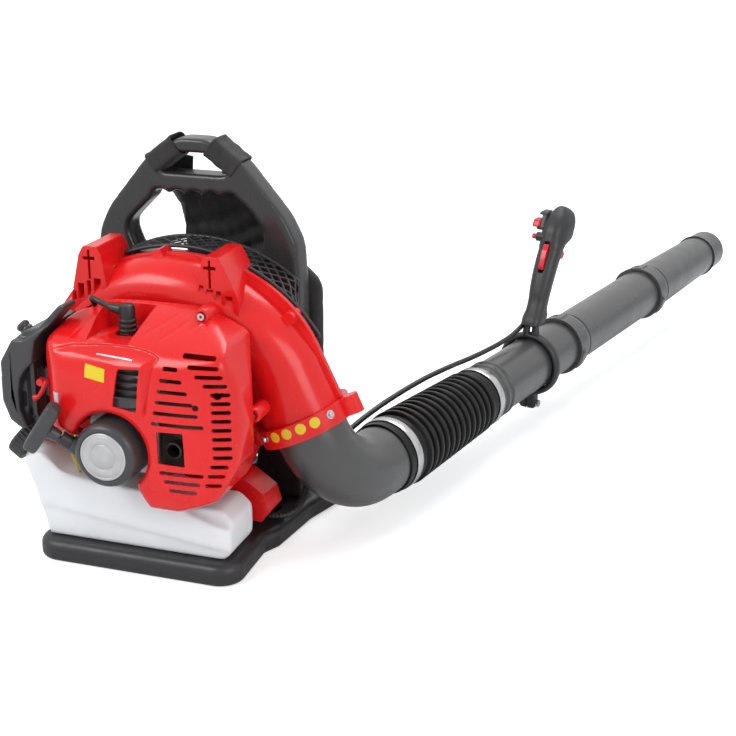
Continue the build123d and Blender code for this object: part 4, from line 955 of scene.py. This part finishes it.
print("grip", len(grip.data.polygons), "faces")

# %% Control handle: the four red controls
def control(name, body, node, thing):
    """Dresses a red control and lets it stand for its CAD part."""
    thing.name = name
    dress(thing, finishes["red_control"], body, [node])


def side_profile(name, corners, soften, half):
    """A plate cut to a side view of (ahead, up) corners, half millimetres thick each way."""
    ring = even_ring(corners, 60, soften)
    return solid(name, np.stack([grip_point(ring[:, 1], ring[:, 0], side)
                                 for side in (-half, half)]), 50)


control("throttle_trigger", "trigger", "trigger",
        side_profile("finger", [(12, 98), (20, 97.5), (29, 94.5), (43, 82), (41.5, 76), (28, 78), (13, 82)],
                     1.2, 4.8))
control("lockout_bar", "lockout", "lockout_lever",
        side_profile("bar", [(-13, 106), (-19, 107), (-22.4, 101), (-23, 90), (-21.5, 78), (-18, 73),
                             (-13, 76)], 1.2, 3.7))
control("stop_slider", "stop_switch", "stop_switch",
        grip_block("slider", 130.9, -8.5, 24.9, (7.8, 5.8, 5.9), 6))
control("idle_pin", "idle_button", "idle_button",
        grip_pin("pin", 113, -10, 14.5, 27.5, 4, 3.7, 32))
print("four controls")

# %% Control handle: ring clamp, posts and bolt lug
angle = np.linspace(0, 2 * np.pi, 20, endpoint=False)
section = np.stack([42.2 + 4.6 * np.cos(angle), GRIP_AT + 7.4 * np.sin(angle)], axis=1)
ring = hoop("ring", hose_lathe(section, 120), 60)
posts = [rod("post", along_hose(side, RING_R - 4, GRIP_AT + shift),
             along_hose(side * 0.8, RING_R + 14, GRIP_AT + 2 + shift), 5.6, 4.8, 28)
         for side, shift in ((6.5, -2), (-6.5, 2))]
lug = rounded_bar("lug", along_hose(0, -RING_R - 6, GRIP_AT), HOSE_LEFT, HOSE_DIR, HOSE_UP, (12.5, 7, 14), 6)
boolean(lug, rounded_bar("gap", along_hose(0, -RING_R - 12, GRIP_AT), HOSE_LEFT, HOSE_DIR, HOSE_UP,
                         (1.4, 12, 17), 12))
clamp = joined("handle_ring", [ring, lug, *posts])
dress(clamp, finishes["black_plastic"], "handle_tube", ["handle_clamp"])
print("handle ring", len(clamp.data.polygons), "faces")


# %% [markdown]
# ## Back frame
# The frame is blow-moulded: hollow bars with generous round edges and soft finger hollows under
# the carry bar.  A boolean body with hard edges is rebuilt on an even grid of voxels and then
# relaxed, which rounds every edge alike, as air pressure in the mould does.

# %% Back frame: form
FRAME_Y, FRAME_REAR = 62, 98
FRAME_SIDE = [(20, 458), (60, 434), (112, 372), (127, 342), (131, 290), (131, 25)]
FRAME_OUTLINE = FRAME_SIDE + [(-x, z) for x, z in reversed(FRAME_SIDE)]
FRAME_WINDOWS = ([(-48, 417), (48, 417), (22, 441), (-22, 441)],
                 [(-52, 389), (60, 389), (88, 352), (78, 318), (-78, 318), (-90, 352)],
                 [(-70, 284), (70, 284), (70, 60), (-70, 60)])


def relaxed(thing, voxel, passes):
    """Rebuilds a closed body on voxels of this size in millimetres and smooths it."""
    grid = thing.modifiers.new("voxels", "REMESH")
    grid.mode = "VOXEL"
    grid.voxel_size = voxel * 0.001
    soft = thing.modifiers.new("soft", "SMOOTH")
    soft.factor = 0.5
    soft.iterations = passes
    applied(thing)
    thing.data.shade_smooth()
    return thing


back = prism("frame", even_ring(FRAME_OUTLINE, 240, 5), FRAME_Y, FRAME_REAR)
for corners, soften in zip(FRAME_WINDOWS, (4, 7, 8)):
    boolean(back, prism("window", even_ring(corners, 120, soften), FRAME_Y - 5, FRAME_REAR + 5))
for x in range(-44, 60, 22):
    boolean(back, rod("finger", (x, FRAME_Y - 5, 385.5), (x, FRAME_REAR + 5, 385.5), 11.2))
relaxed(back, 2.6, 30)
dress(back, finishes["frame_black"], "machine", ["back_frame"])
print("frame", len(back.data.polygons), "faces")

# %% [markdown]
# ## Fuel tank
# A blow-moulded tank of milky polyethylene.  Its corners are all soft, the top steps down at its
# right end, and its front face leans back at the foot.  The ribbed cap is a turned profile whose
# radius dips 24 times round.

# %% Fuel tank
TANK_OUTLINE = [(-114, 25.2), (106, 25.2), (115, 36), (115, 70), (100, 83), (60, 82), (20, 98),
                (-46, 100), (-92, 106), (-116, 128), (-140, 118), (-126, 78)]
CAP_DIR = unit(-0.8, 0, 0.6)
NECK = np.array((-131.0, -98, 119))
tank = prism("tank", even_ring(TANK_OUTLINE, 200, 3.5), -54, -121.5)
boolean(tank, rod("neck", NECK - CAP_DIR * 14, NECK + CAP_DIR * 8.6, 16, count=64), "UNION")
boolean(tank, prism("step", [(62, 79), (101, 66), (130, 62), (130, 90), (62, 92)], -112, -130))
boolean(tank, prism("low_face", [(-150, 20), (-150, 56), (-104, 62), (96, 40), (130, 40), (130, 20)],
                    -119, -130))
relaxed(tank, 2.4, 10)
dress(tank, finishes["tank_plastic"], "machine", ["fuel_tank"])
print("tank", len(tank.data.polygons), "faces")


# %% Fuel cap
cap_profile = np.array([(20.6, 9.0), (21.6, 9.6), (22, 11), (22, 14), (22, 25), (21.4, 27.4), (19.6, 28.8),
                        (16, 29), (14.6, 27.6), (13, 27.2), (6, 27.2)])
angle = np.linspace(0, 2 * np.pi, 288, endpoint=False)
grip_share = np.array([0, 0, 0, 0.4, 1, 0.6, 0, 0, 0, 0, 0])[:, None]
radius = cap_profile[:, :1] - 1.7 * grip_share * np.clip(0.5 + 1.1 * np.cos(24 * angle), 0, 1)
side = unit(0, 1, 0)
up = np.cross(CAP_DIR, side)
rings = NECK + cap_profile[:, 1, None, None] * CAP_DIR + radius[..., None] * (
    np.cos(angle)[:, None] * side + np.sin(angle)[:, None] * up)
dress(solid("tank_cap_knob", rings), finishes["black_plastic"], "tank_cap", ["fuel_cap"])


# %% [markdown]
# ## Starter
# The recoil starter is a shallow drum with a rounded front edge and a bare disc let into it.  Its
# rope comes out of a bushed boss, and its handle is a moulded T whose stem widens into the bar.

# %% Starter drum and disc
DRUM_BASE = np.array((FAN_X, 7.0, FAN_Z))
drum = hoop("drum", turned([(33, 112), (37, 112), (37, 158), (36.6, 163), (35.2, 167), (32.6, 169.6),
                            (30, 170.4), (28.2, 170.2), (27.9, 168.6), (12, 168.6), (4.9, 168.6), (4.9, 166),
                            (30, 166), (33, 163)], DRUM_BASE, -y_axis, x_axis, 128))
boss = rod("boss", GUIDE - PULL * 22, GUIDE - PULL * 2.1, 11, 9.5, 48)
boolean(boss, rod("inside", (FAN_X, -100, FAN_Z), (FAN_X, -166, FAN_Z), 34, count=64))
boolean(boss, rod("bore", GUIDE - PULL * 24, GUIDE, 2.6))
drum = joined("starter_drum", [drum, boss])
dress(drum, finishes["drum_grey"], "machine", ["recoil_housing"])
disc = turned([(27.4, 167.6), (27.5, 169.9), (26.9, 170.5), (24.6, 170.7), (24.2, 170.4), (23.8, 170.7),
               (15, 170.8), (14.6, 170.5), (14.2, 170.8), (2, 170.9)], DRUM_BASE, -y_axis, x_axis, 128)
dress(solid("starter_disc", disc, 60), finishes["disc_silver"], "machine", ["recoil_badge"])
print("starter drum", len(drum.data.polygons), "faces")

# %% Starter handle
BAR = GUIDE + PULL * 34
bar_way = np.array((0.73, -0.13, 0.67))
bar_way = unit(*(bar_way - PULL * (bar_way @ PULL)))
bar_side = np.cross(PULL, bar_way)
handle = rounded_bar("starter_grip", BAR - PULL * 0.3, bar_way, bar_side, PULL, (38, 9.4, 8.4), 6.5, 48, 80)
boolean(handle, rod("stem", BAR - PULL * 22, BAR - PULL * 2, 6.4, 9.5, 48), "UNION")
for shift in (-9, -3, 3, 9):
    boolean(handle, rounded_bar("hollow", BAR + bar_way * shift + bar_side * 9.6, bar_way, bar_side, PULL,
                                (1.6, 1.2, 6), 3))
relaxed(handle, 1.0, 4)
dress(handle, finishes["drum_grey"], "pull_handle", ["starter_handle"])
print("starter handle", len(handle.data.polygons), "faces")

# %% [markdown]
# ## Air cleaner
# A boxy cover whose front bends over a broad radius.  Low on its right side an arched recess
# shows the ribbed filter case, and a short thumb knob stands on its top corner.

# %% Air cleaner cover
FILTER_OUTLINE = [(-151, 190), (-150, 236), (-134, 262), (-122, 272), (-104, 277), (-76, 306), (-70, 302),
                  (-105, 264), (-109, 240), (-111, 166), (-128, 158), (-143, 168)]
cleaner = prism("cleaner", even_ring(FILTER_OUTLINE, 200, 1.2), -60, -134)
boolean(cleaner, prism("front_slope", [(-160, 286), (-60, 320), (-60, 300), (-105, 272), (-118, 264),
                                       (-160, 262)], -124, -140))
boolean(cleaner, prism("behind", [(-125, 286), (-106, 280), (-60, 280), (-60, 330), (-125, 330)], -50, -94))
boolean(cleaner, prism("arch", even_ring([(-84, 249), (-106, 241), (-118, 231), (-126, 219), (-129.5, 200),
                                          (-129.5, 181), (-123, 164), (-112, 150), (-84, 150)], 140, 3),
                       -116, -140))
for x, top in ((-124.5, 214), (-117, 226), (-110.5, 232)):
    rib = prism("rib", even_ring([(x - 2.4, 168), (x - 1.6, top), (x + 1.6, top), (x + 0.8, 168)], 60, 0.8),
                -110, -124)
    boolean(cleaner, rib, "UNION")
boolean(cleaner, prism("room", even_ring([(-146, 170), (-146, 246), (-107, 246), (-104, 170)], 60, 3),
                       -63, -108))
relaxed(cleaner, 1.6, 10)
knob = solid("knob", turned([(7.5, 0), (7.8, 2), (6.8, 4), (7.8, 6), (7.8, 9), (6, 11), (2, 11.6)],
                            np.array((-132.0, -100, 264)), unit(-0.75, 0, 0.66), y_axis, 40))
seam = prism("seam", [(-136.5, 250), (-135.5, 250), (-138, 196), (-133, 178), (-134, 178), (-139, 196)],
             -133.4, -134.6)
cleaner = joined("air_cleaner", [cleaner, knob, seam])
dress(cleaner, finishes["cleaner_black"], "machine", ["air_filter_cover"])
print("air cleaner", len(cleaner.data.polygons), "faces")

# %% [markdown]
# ## Choke hook
# The choke lever is a thin red hook: a round wire-like stem whose radius swells at its tip, on a
# flat hub.  Stem, cords and strands are all tubes along a smooth line, so one helper reads the
# line and one draws the tube.


# %% Tubes along a line, and the choke hook
def spline_points(route, steps=12):
    """Points along the smooth line whose control points are the route: a NURBS spline of order 3
    that starts and ends at the route's ends."""
    curve = bpy.data.curves.new("route", "CURVE")
    curve.dimensions = "3D"
    curve.resolution_u = steps
    line = curve.splines.new("NURBS")
    line.points.add(len(route) - 1)
    spots = np.hstack([np.asarray(route, float) * 0.001, np.ones((len(route), 1))])
    line.points.foreach_set("co", spots.ravel())
    line.order_u = 3
    line.use_endpoint_u = True
    holder = new_object("route", curve)
    mesh = bpy.data.meshes.new_from_object(holder.evaluated_get(bpy.context.evaluated_depsgraph_get()))
    spots = np.empty(3 * len(mesh.vertices))
    mesh.vertices.foreach_get("co", spots)
    bpy.data.objects.remove(holder)
    return spots.reshape(-1, 3) * 1000


def tube(name, path, radius, lean, count=20):
    """A round tube along a path; radius may change along it.

    Each ring is p + r (cos a s + sin a t x s), where t is the tangent and s the part of lean
    across it."""
    way = np.gradient(path, axis=0)
    way /= np.linalg.norm(way, axis=1)[:, None]
    side = lean - (way @ lean)[:, None] * way
    side /= np.linalg.norm(side, axis=1)[:, None]
    other = np.cross(way, side)
    angle = np.linspace(0, 2 * np.pi, count, endpoint=False)
    radius = np.broadcast_to(radius, len(path))[:, None, None]
    return solid(name, path[:, None] + radius * (np.cos(angle)[:, None] * side[:, None]
                                                 + np.sin(angle)[:, None] * other[:, None]), 60)


hook = [(-89, 223), (-93, 214), (-98, 206), (-102, 201.5), (-106, 201)]
stem = spline_points([(x, -139, z) for x, z in hook])
swell = np.interp(np.linspace(0, 1, len(stem)), (0, 0.7, 0.85, 1), (2.6, 2.2, 3.2, 4))
hub = rod("hub", (-97, -134.4, 220), (-97, -141, 220), 4.5, 4, 32)
bridge = tube("bridge", spline_points([(-97, -138, 220), (-94, -138.5, 219), (-92, -139, 217)]), 2.6, y_axis)
choke = joined("choke_hook", [tube("stem", stem, swell, y_axis), hub, bridge])
dress(choke, finishes["red_control"], "choke", ["choke_lever"])
print("choke hook", len(choke.data.polygons), "faces")

# %% [markdown]
# ## Outlet collar
# A screwed collar closes the housing's outlet round the elbow.  Four bare yellow discs lie on it
# and bend with it, and two pan-head screws hold it.

# %% Outlet collar: bare discs and screws
OUTLET = np.array((160.0, 0, 157))
OUTLET_DIR = unit(0.42, 0, -0.9075)
COLLAR_R = 56
collar_up = np.cross(OUTLET_DIR, y_axis)


def collar_out(degrees):
    """The direction away from the collar's axis, at an angle round it from the back."""
    return math.cos(math.radians(degrees)) * y_axis + math.sin(math.radians(degrees)) * collar_up


def on_collar(name, degrees, radius, rise, along=-3.0):
    """A disc that lies on the collar: it falls by R (1 - cos(w / R)) at width w from its middle."""
    out = collar_out(degrees)
    spot = OUTLET + OUTLET_DIR * along + out * COLLAR_R
    share = np.concatenate([np.linspace(0.02, 0.94, 9), [0.98, 1, 1]])[:, None]
    a = np.linspace(0, 2 * np.pi, 40, endpoint=False)
    across, down = share * radius * np.cos(a), share * radius * np.sin(a)
    lift = COLLAR_R * (np.cos(across / COLLAR_R) - 1) + rise * np.where(np.arange(12) > 10, -1, 1)[:, None]
    return solid(name, spot + across[..., None] * np.cross(OUTLET_DIR, out) + down[..., None] * OUTLET_DIR
                 + lift[..., None] * out)


discs = [on_collar("disc", angle, 6.2, 0.35) for angle in (198, 181, 163, 145)]
dress(joined("collar_discs", discs), finishes["label_yellow"], "machine")
screw_profile = [(5, 0), (5, 1.6), (3.4, 2.4), (3.4, 4.2), (2.8, 5), (1.2, 5), (1.1, 4)]
screws = []
for out in (collar_out(217), collar_out(124)):
    seat = OUTLET - OUTLET_DIR * 3 + out * (COLLAR_R - 1)
    screws.append(solid("screw", turned(screw_profile, seat, out, OUTLET_DIR, 32)))
dress(joined("collar_screws", screws), finishes["bright_steel"], "machine")
print("collar trim", len(discs), "discs,", len(screws), "screws")

# %% [markdown]
# ## Intake guard
# The gap between the blower housing and the back frame is closed by a moulded lattice.  Its
# strands are thin, so it is drawn as two crossed sets of round strands on one surface: the radius
# follows the scroll at the front and the frame's outline at the back.

# %% Intake guard
TONGUE = -40


def guard_point(turn, share):
    """A point of the guard: share 0 on the housing's rim and 1 on the frame.

    The radius is the scroll's, 118 + 0.32 turn, blended to the distance of the frame's edge."""
    angle = np.radians(TONGUE - turn)
    front = 118 + 0.32 * turn
    reach = np.where(np.cos(angle) > 0, 141 / np.maximum(np.cos(angle), 0.2),
                     117 / np.maximum(-np.cos(angle), 0.2))
    rear = np.minimum(front, np.maximum(reach, 112))
    radius = front + (rear - front) * share
    return np.stack([FAN_X + radius * np.cos(angle), 13 + 48.5 * share + 0 * angle,
                     FAN_Z + radius * np.sin(angle)], axis=-1)


strands = []
lean = unit(0.31, 0.11, 0.95)
for first in np.arange(78, 292, 4.6):
    for slope in (-13, 13):
        share = np.linspace(0, 1, 9)
        turn = first + slope * share + (0 if slope > 0 else 13)
        if turn.min() > 92 and turn.max() < 290:
            strands.append(tube("strand", guard_point(turn, share), 1.25, lean, 6))
for share, radius in ((0.0, 2.2), (1.0, 2.4)):
    turn = np.linspace(91, 291, 160)
    strands.append(tube("rim", guard_point(turn, share), radius, y_axis, 10))
for turn in (91, 150, 210, 250, 291):
    share = np.linspace(0, 1, 9)
    strands.append(tube("bar", guard_point(turn + 0 * share, share), 2.2, lean, 10))
guard = joined("intake_guard", strands)
dress(guard, finishes["black_plastic"], "machine", ["intake_screen"])
print("guard", len(guard.data.polygons), "faces")

# %% [markdown]
# ## Cords
# The throttle cable runs from the handle down beside the hose, and on through a thicker ribbed
# conduit under the elbow to the engine.  Both follow smooth splines along their routes, and neither
# is attached to one body.  The ignition lead and the two fuel lines are short and fixed, and the
# starter rope runs out of its guide towards the T-handle.


# %% Throttle cable and conduit
def cord_length(path):
    """Length of a path in metres."""
    return float(np.linalg.norm(np.diff(path, axis=0), axis=1).sum() * 0.001)


cable_route = [along_hose(*p) for p in (
    (12, 58, 390), (12, 50, 362), (15, 46, 320), (22, 44, 262), (31, 44, 212),
    (40, 42, 160), (47, 37, 108), (53, 30, 58), (58, 20, 10), (62, 7, -34))]
cable_path = spline_points(cable_route)
cable = tube("throttle_cable_cord", cable_path, 3.4, HOSE_UP)
dress(cable, finishes["rubber"], None, ["throttle_cable"])
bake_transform(cable)

cable_turn = cable_route[-1] + (cable_route[-1] - cable_route[-2]) * 0.7
conduit_route = [cable_route[-1], cable_turn, (146, 28, 47), (142, 8, 34), (126, -4, 30), (104, -6, 30)]
conduit_path = spline_points(conduit_route, 90)
run = np.concatenate([[0], np.cumsum(np.linalg.norm(np.diff(conduit_path, axis=0), axis=1))])
CONDUIT_R, RIB_PITCH = 4.4, 4.2
ribbed = CONDUIT_R - 0.35 * (0.5 + 0.5 * np.cos(2 * np.pi * run / RIB_PITCH))
conduit = tube("conduit_cord", conduit_path, ribbed, z_axis)
dress(conduit, finishes["rubber"], None, ["cable_conduit"])
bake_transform(conduit)
print("cable", round(cord_length(cable_path), 3), "m, conduit", round(cord_length(conduit_path), 3), "m")

# %% Ignition lead and fuel lines
lead_path = spline_points([(-32.5, -90, 298), (-46, -89, 303), (-58, -85, 305), (-63, -76, 301),
                           (-64, -62, 287)])
lead = tube("lead_cord", lead_path, 3.2, y_axis)
dress(lead, finishes["rubber"], "machine", ["ignition_lead"])
fuel_routes = {"fuel_hose": [(-93, -108, 171), (-90, -110, 150), (-81, -111, 127), (-74, -108, 105.5)],
               "return_hose": [(-79, -104, 164), (-78, -106, 146), (-72, -107, 126), (-66, -106, 104.5)]}
for name, route in fuel_routes.items():
    path = spline_points(route)
    piece = tube(name, path, 2.4, y_axis)
    dress(piece, finishes["hose_clear"], "machine", ["fuel_line"])
    print(name, round(cord_length(path), 3), "m")

# %% Starter rope
rope_path = spline_points([GUIDE - PULL * 19, GUIDE - PULL * 8, GUIDE + PULL * 3, GUIDE + PULL * 14])
rope = tube("rope_cord", rope_path, 1.7, y_axis, 16)
dress(rope, finishes["webbing"], None, ["starter_rope"])
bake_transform(rope)
print("rope", round(cord_length(rope_path), 3), "m at rest")

# %% Spark plug boot
cap = turned([(10.2, 272.4), (10.6, 273.4), (10.6, 275.4), (9.4, 276.4), (9.4, 278), (10.3, 279), (10.3, 281),
              (9.1, 282), (9.1, 283.6), (10, 284.6), (10, 286.6), (8.9, 287.6), (8.9, 299), (7.6, 302.6),
              (5, 303.8), (1.5, 304)],
             np.array((FAN_X, -90.0, 0)), z_axis, x_axis, 64)
arm_path = spline_points([(FAN_X, -90, 296), (-22, -90, 296.4), (-33, -90, 298.2)])
arm = tube("arm", arm_path, np.linspace(7.6, 4.4, len(arm_path)), y_axis, 32)
boot = joined("plug_boot", [solid("cap", cap), arm])
dress(boot, finishes["rubber"], "machine", ["spark_boot"])
print("plug boot", len(boot.data.polygons), "faces")


# %% [markdown]
# ## Harness
# Webbing is wrapped round the two slanted bars at the top of the frame and carries the shoulder
# pads behind it.  The pads are foam under nylon: each starts as a thin shaped slab and is blown up
# a little as cloth, so its faces crown and its edges pull in like a sewn pad's.


# %% Webbing sleeves
def through_points(points, count):
    """Count points on a smooth line through the points, spread evenly by length."""
    points = np.asarray(points, float)
    run = np.concatenate([[0], np.cumsum(np.linalg.norm(np.diff(points, axis=0), axis=1))])
    at = np.linspace(0, run[-1], count)
    return np.stack([through(at, run, points[:, k]) for k in range(points.shape[1])], axis=1)


def sleeve(name, start, end, half_up, half_deep, seed):
    """A fabric sleeve round a bar: rounded-square rings, (cos^5 + sin^5)^(-1/5) in radius, whose
    size wavers in soft folds and thickens at the two hems."""
    start, end = np.array(start, float), np.array(end, float)
    way = unit(*(end - start))
    up = np.cross(way, y_axis)
    share = np.linspace(0, 1, 40)[:, None]
    a = np.linspace(0, 2 * np.pi, 120, endpoint=False)[None, :]
    size = (np.abs(np.cos(a)) ** 5 + np.abs(np.sin(a)) ** 5) ** (-0.2)
    fold = 0.28 * np.sin(5 * share * np.pi + 3 * np.sin(a + seed)) * np.sin(2 * a + seed + 4 * share) \
        + 0.12 * np.sin(17 * share + 3 * np.cos(a + seed))
    hem = 0.5 * (np.exp(-((share - 0.04) / 0.03) ** 2) + np.exp(-((share - 0.96) / 0.03) ** 2))
    grow = 0.6 + fold + hem
    middle = start + share[:, :, None] * (end - start)
    outer = middle + ((half_up + grow) * size * np.cos(a))[..., None] * up \
        + ((half_deep + grow) * size * np.sin(a))[..., None] * y_axis
    inner = middle + (outer - middle) * (1 - 1.0 / half_up)
    return hoop(name, np.concatenate([outer, inner[::-1]]), 60)


for side, name in ((-1, "webbing_wrap_left"), (1, "webbing_wrap_right")):
    wrap = sleeve(name, (side * 21, 80, 449.5), (side * 53.5, 80, 425), 12.6, 18.8, side)
    dress(wrap, finishes["webbing"], "machine")
    print(name, len(wrap.data.polygons), "faces")


# %% Pads
def blown_up(thing, voxel, cap, pressure=4.0, frames=20):
    """Swells a closed body as cloth under pressure; no point moves more than cap millimetres."""
    grid = thing.modifiers.new("voxels", "REMESH")
    grid.mode = "VOXEL"
    grid.voxel_size = voxel * 0.001
    applied(thing)
    before = np.empty(3 * len(thing.data.vertices))
    thing.data.vertices.foreach_get("co", before)
    cloth = thing.modifiers.new("cloth", "CLOTH")
    cloth.settings.use_pressure = True
    cloth.settings.uniform_pressure_force = pressure
    cloth.settings.effector_weights.gravity = 0
    cloth.settings.quality = 5
    cloth.point_cache.frame_start = 1
    cloth.point_cache.frame_end = frames
    for frame_number in range(1, frames + 1):
        scene.frame_set(frame_number)
    applied(thing)
    scene.frame_set(1)
    after = np.empty_like(before)
    thing.data.vertices.foreach_get("co", after)
    move = (after - before).reshape(-1, 3)
    far = np.linalg.norm(move, axis=1, keepdims=True)
    move *= np.minimum(1, cap * 0.001 / np.maximum(far, 1e-9))
    thing.data.vertices.foreach_set("co", before + move.ravel())
    smooth = thing.modifiers.new("finer", "SUBSURF")
    smooth.levels = smooth.render_levels = 1
    applied(thing)
    thing.data.shade_smooth()
    return thing


def pad_body(name, points, across, half_wide, half_thick):
    """A slab along a smooth line: superellipse sections that narrow to rounded ends."""
    path = through_points(points, 60)
    way = np.gradient(path, axis=0)
    way /= np.linalg.norm(way, axis=1)[:, None]
    out = np.cross(way, across)
    a = np.linspace(0, 2 * np.pi, 64, endpoint=False)
    s = np.linspace(-1, 1, 60)
    end = (1 - np.abs(s) ** 12) ** 0.3 * 0.96 + 0.04
    wide = np.sign(np.cos(a)) * np.abs(np.cos(a)) ** 0.4
    thick = np.sign(np.sin(a)) * np.abs(np.sin(a)) ** 0.6
    return solid(name, path[:, None] + (half_wide * end)[:, None, None] * wide[:, None] * across
                 + (half_thick * end)[:, None, None] * thick[:, None] * out[:, None])


for side, name in ((-1, "left"), (1, "right")):
    points = [(side * x, y, z) for x, y, z in (
        (37, 106, 396), (37, 128, 378), (38, 150, 358), (40, 170, 331), (44, 182.5, 298),
        (49, 183.5, 250), (51, 182.5, 212), (52, 171, 178), (52, 158, 151))]
    pad = blown_up(pad_body("pad", points, x_axis, 26, 4.6), 4.5, 4.5)
    dress(pad, finishes["pad_cloth"], "machine", [f"shoulder_pad_{name}"])
    pad.name = f"shoulder_cushion_{name}"
    print(name, "pad", len(pad.data.polygons), "faces")


def ribbon(name, path, across, half_wide, thick):
    """Flat webbing along a path: a thin rectangle with rounded selvedges carried along it."""
    way = np.gradient(path, axis=0)
    way /= np.linalg.norm(way, axis=1)[:, None]
    across = across - (way @ across)[:, None] * way
    across /= np.linalg.norm(across, axis=1)[:, None]
    out = np.cross(way, across)
    section = np.array([(-1, -0.2), (-0.97, -0.5), (0.97, -0.5), (1, -0.2),
                        (1, 0.2), (0.97, 0.5), (-0.97, 0.5), (-1, 0.2)])
    return solid(name, path[:, None] + half_wide * section[:, 0, None] * across[:, None]
                 + thick * section[:, 1, None] * out[:, None], 50)


# %% Straps and buckles
STRAP_X = 52
for side, name in ((-1, "left"), (1, "right")):
    strap = ribbon("strap", through_points([(side * STRAP_X, y, z) for y, z in (
        (157, 149), (143, 134), (126, 117), (113, 90), (100.5, 61))], 60), x_axis, 12.5, 1.4)
    tail = ribbon("tail", through_points([(side * x, y, z) for x, y, z in (
        (52, 146, 141), (53, 147, 126), (54, 143, 104), (56, 137, 84))], 40), x_axis, 12.5, 1.4)
    dress(joined(f"webbing_strap_{name}", [strap, tail]), finishes["webbing"], "machine",
          ["strap_loops"])
    bars = [rod("bar", (side * STRAP_X - 16, y, z), (side * STRAP_X + 16, y, z), 1.9, count=20)
            for y, z in ((150.5, 143.5), (145.5, 137.5), (139.5, 131.5))]
    ends = [rounded_bar("end", (side * STRAP_X + shift, 145, 137.5), unit(0, 0.68, 0.73), x_axis,
                        unit(0, -0.73, 0.68), (10.5, 2.2, 3), 4) for shift in (-15.5, 15.5)]
    dress(joined(f"ladder_buckle_{name}", bars + ends), finishes["black_plastic"], "machine")
    print(name, "strap and buckle")

# %% [markdown]
# ## Back pad
# The pad that lies on the wearer's back is quilted: a foam slab is blown up as cloth first, and
# its sewn channels are pressed in afterwards, because the voxels would lose them.  Each channel is
# a Gaussian valley, 5 mm deep, on the side that faces the wearer.

# %% Back pad
pad_outline = even_ring([(146, 153), (146, 290), (116, 316), (-116, 316), (-146, 290), (-146, 153)], 200, 9)
levels = ((100.5, 5), (101, 2.4), (103, 1), (108, 0.6), (113, 1), (116, 3), (118.4, 7), (119.4, 12))
slab = np.stack([np.stack([r[:, 0], np.full(len(r), y), r[:, 1]], axis=1)
                 for y, r in ((y, drawn_in(pad_outline, d)) for y, d in levels)])
cushion = blown_up(solid("slab", slab), 5.5, 3.5)
spots = np.empty(3 * len(cushion.data.vertices))
cushion.data.vertices.foreach_get("co", spots)
spots = spots.reshape(-1, 3) * 1000
outside = step_up(spots[:, 1], 110, 117)
grooves = sum(np.exp(-((spots[:, 0] - x) / 3.2) ** 2) for x in (-98, -49, 0, 49, 98))
grooves += sum(np.exp(-((spots[:, 2] - z) / 3.2) ** 2) for z in (207, 262))
spots[:, 1] -= outside * 5 * np.clip(grooves, 0, 1)
spots[:, 1] = np.clip(spots[:, 1], 98.6, 125)
cushion.data.vertices.foreach_set("co", (spots * 0.001).ravel())
cushion.data.update()
dress(cushion, finishes["pad_cloth"], "machine", ["back_pad"])
cushion.name = "back_cushion"
print("back pad", len(cushion.data.polygons), "faces")

# %% [markdown]
# ## Harness yoke
# Behind the carry bar the cloth that joins the two shoulder pads hangs in loose folds.  It is one
# sheet whose depth is a sum of crossed sine waves, given a thickness at the end.

# %% Harness yoke
u, v = np.meshgrid(np.linspace(0, 1, 90), np.linspace(0, 1, 70))
x = -34 + 104 * u + 4 * v * np.sin(5 * u)
z = 398 - 92 * v + 3 * np.sin(7 * u + 1)
y = 107 + 6 * v + 2.2 * np.sin(11 * u + 5 * v) * np.sin(3.1 * v + 1) \
    + 1.6 * np.sin(23 * v + 9 * u) * (0.3 + v) + 1.1 * np.sin(37 * u - 13 * v)
yoke = new_object("harness_yoke", mesh_of("harness_yoke", np.stack([x, y, z], axis=-1),
                                          grid_faces(*u.shape), 80))
thick = yoke.modifiers.new("thick", "SOLIDIFY")
thick.thickness = 0.0016
applied(yoke)
tidy(yoke.data, 70)
dress(yoke, finishes["pad_cloth"], "machine")
print("yoke", len(yoke.data.polygons), "faces")
for side, name in ((-1, "left"), (1, "right")):
    band = ribbon("band", through_points([(side * 34, 102, 432), (side * 36, 104, 418), (side * 37, 106, 405),
                                          (side * 37, 110, 392)], 40), x_axis, 17, 1.8)
    band.name = f"shoulder_anchor_{name}"
    dress(band, finishes["webbing"], "machine")
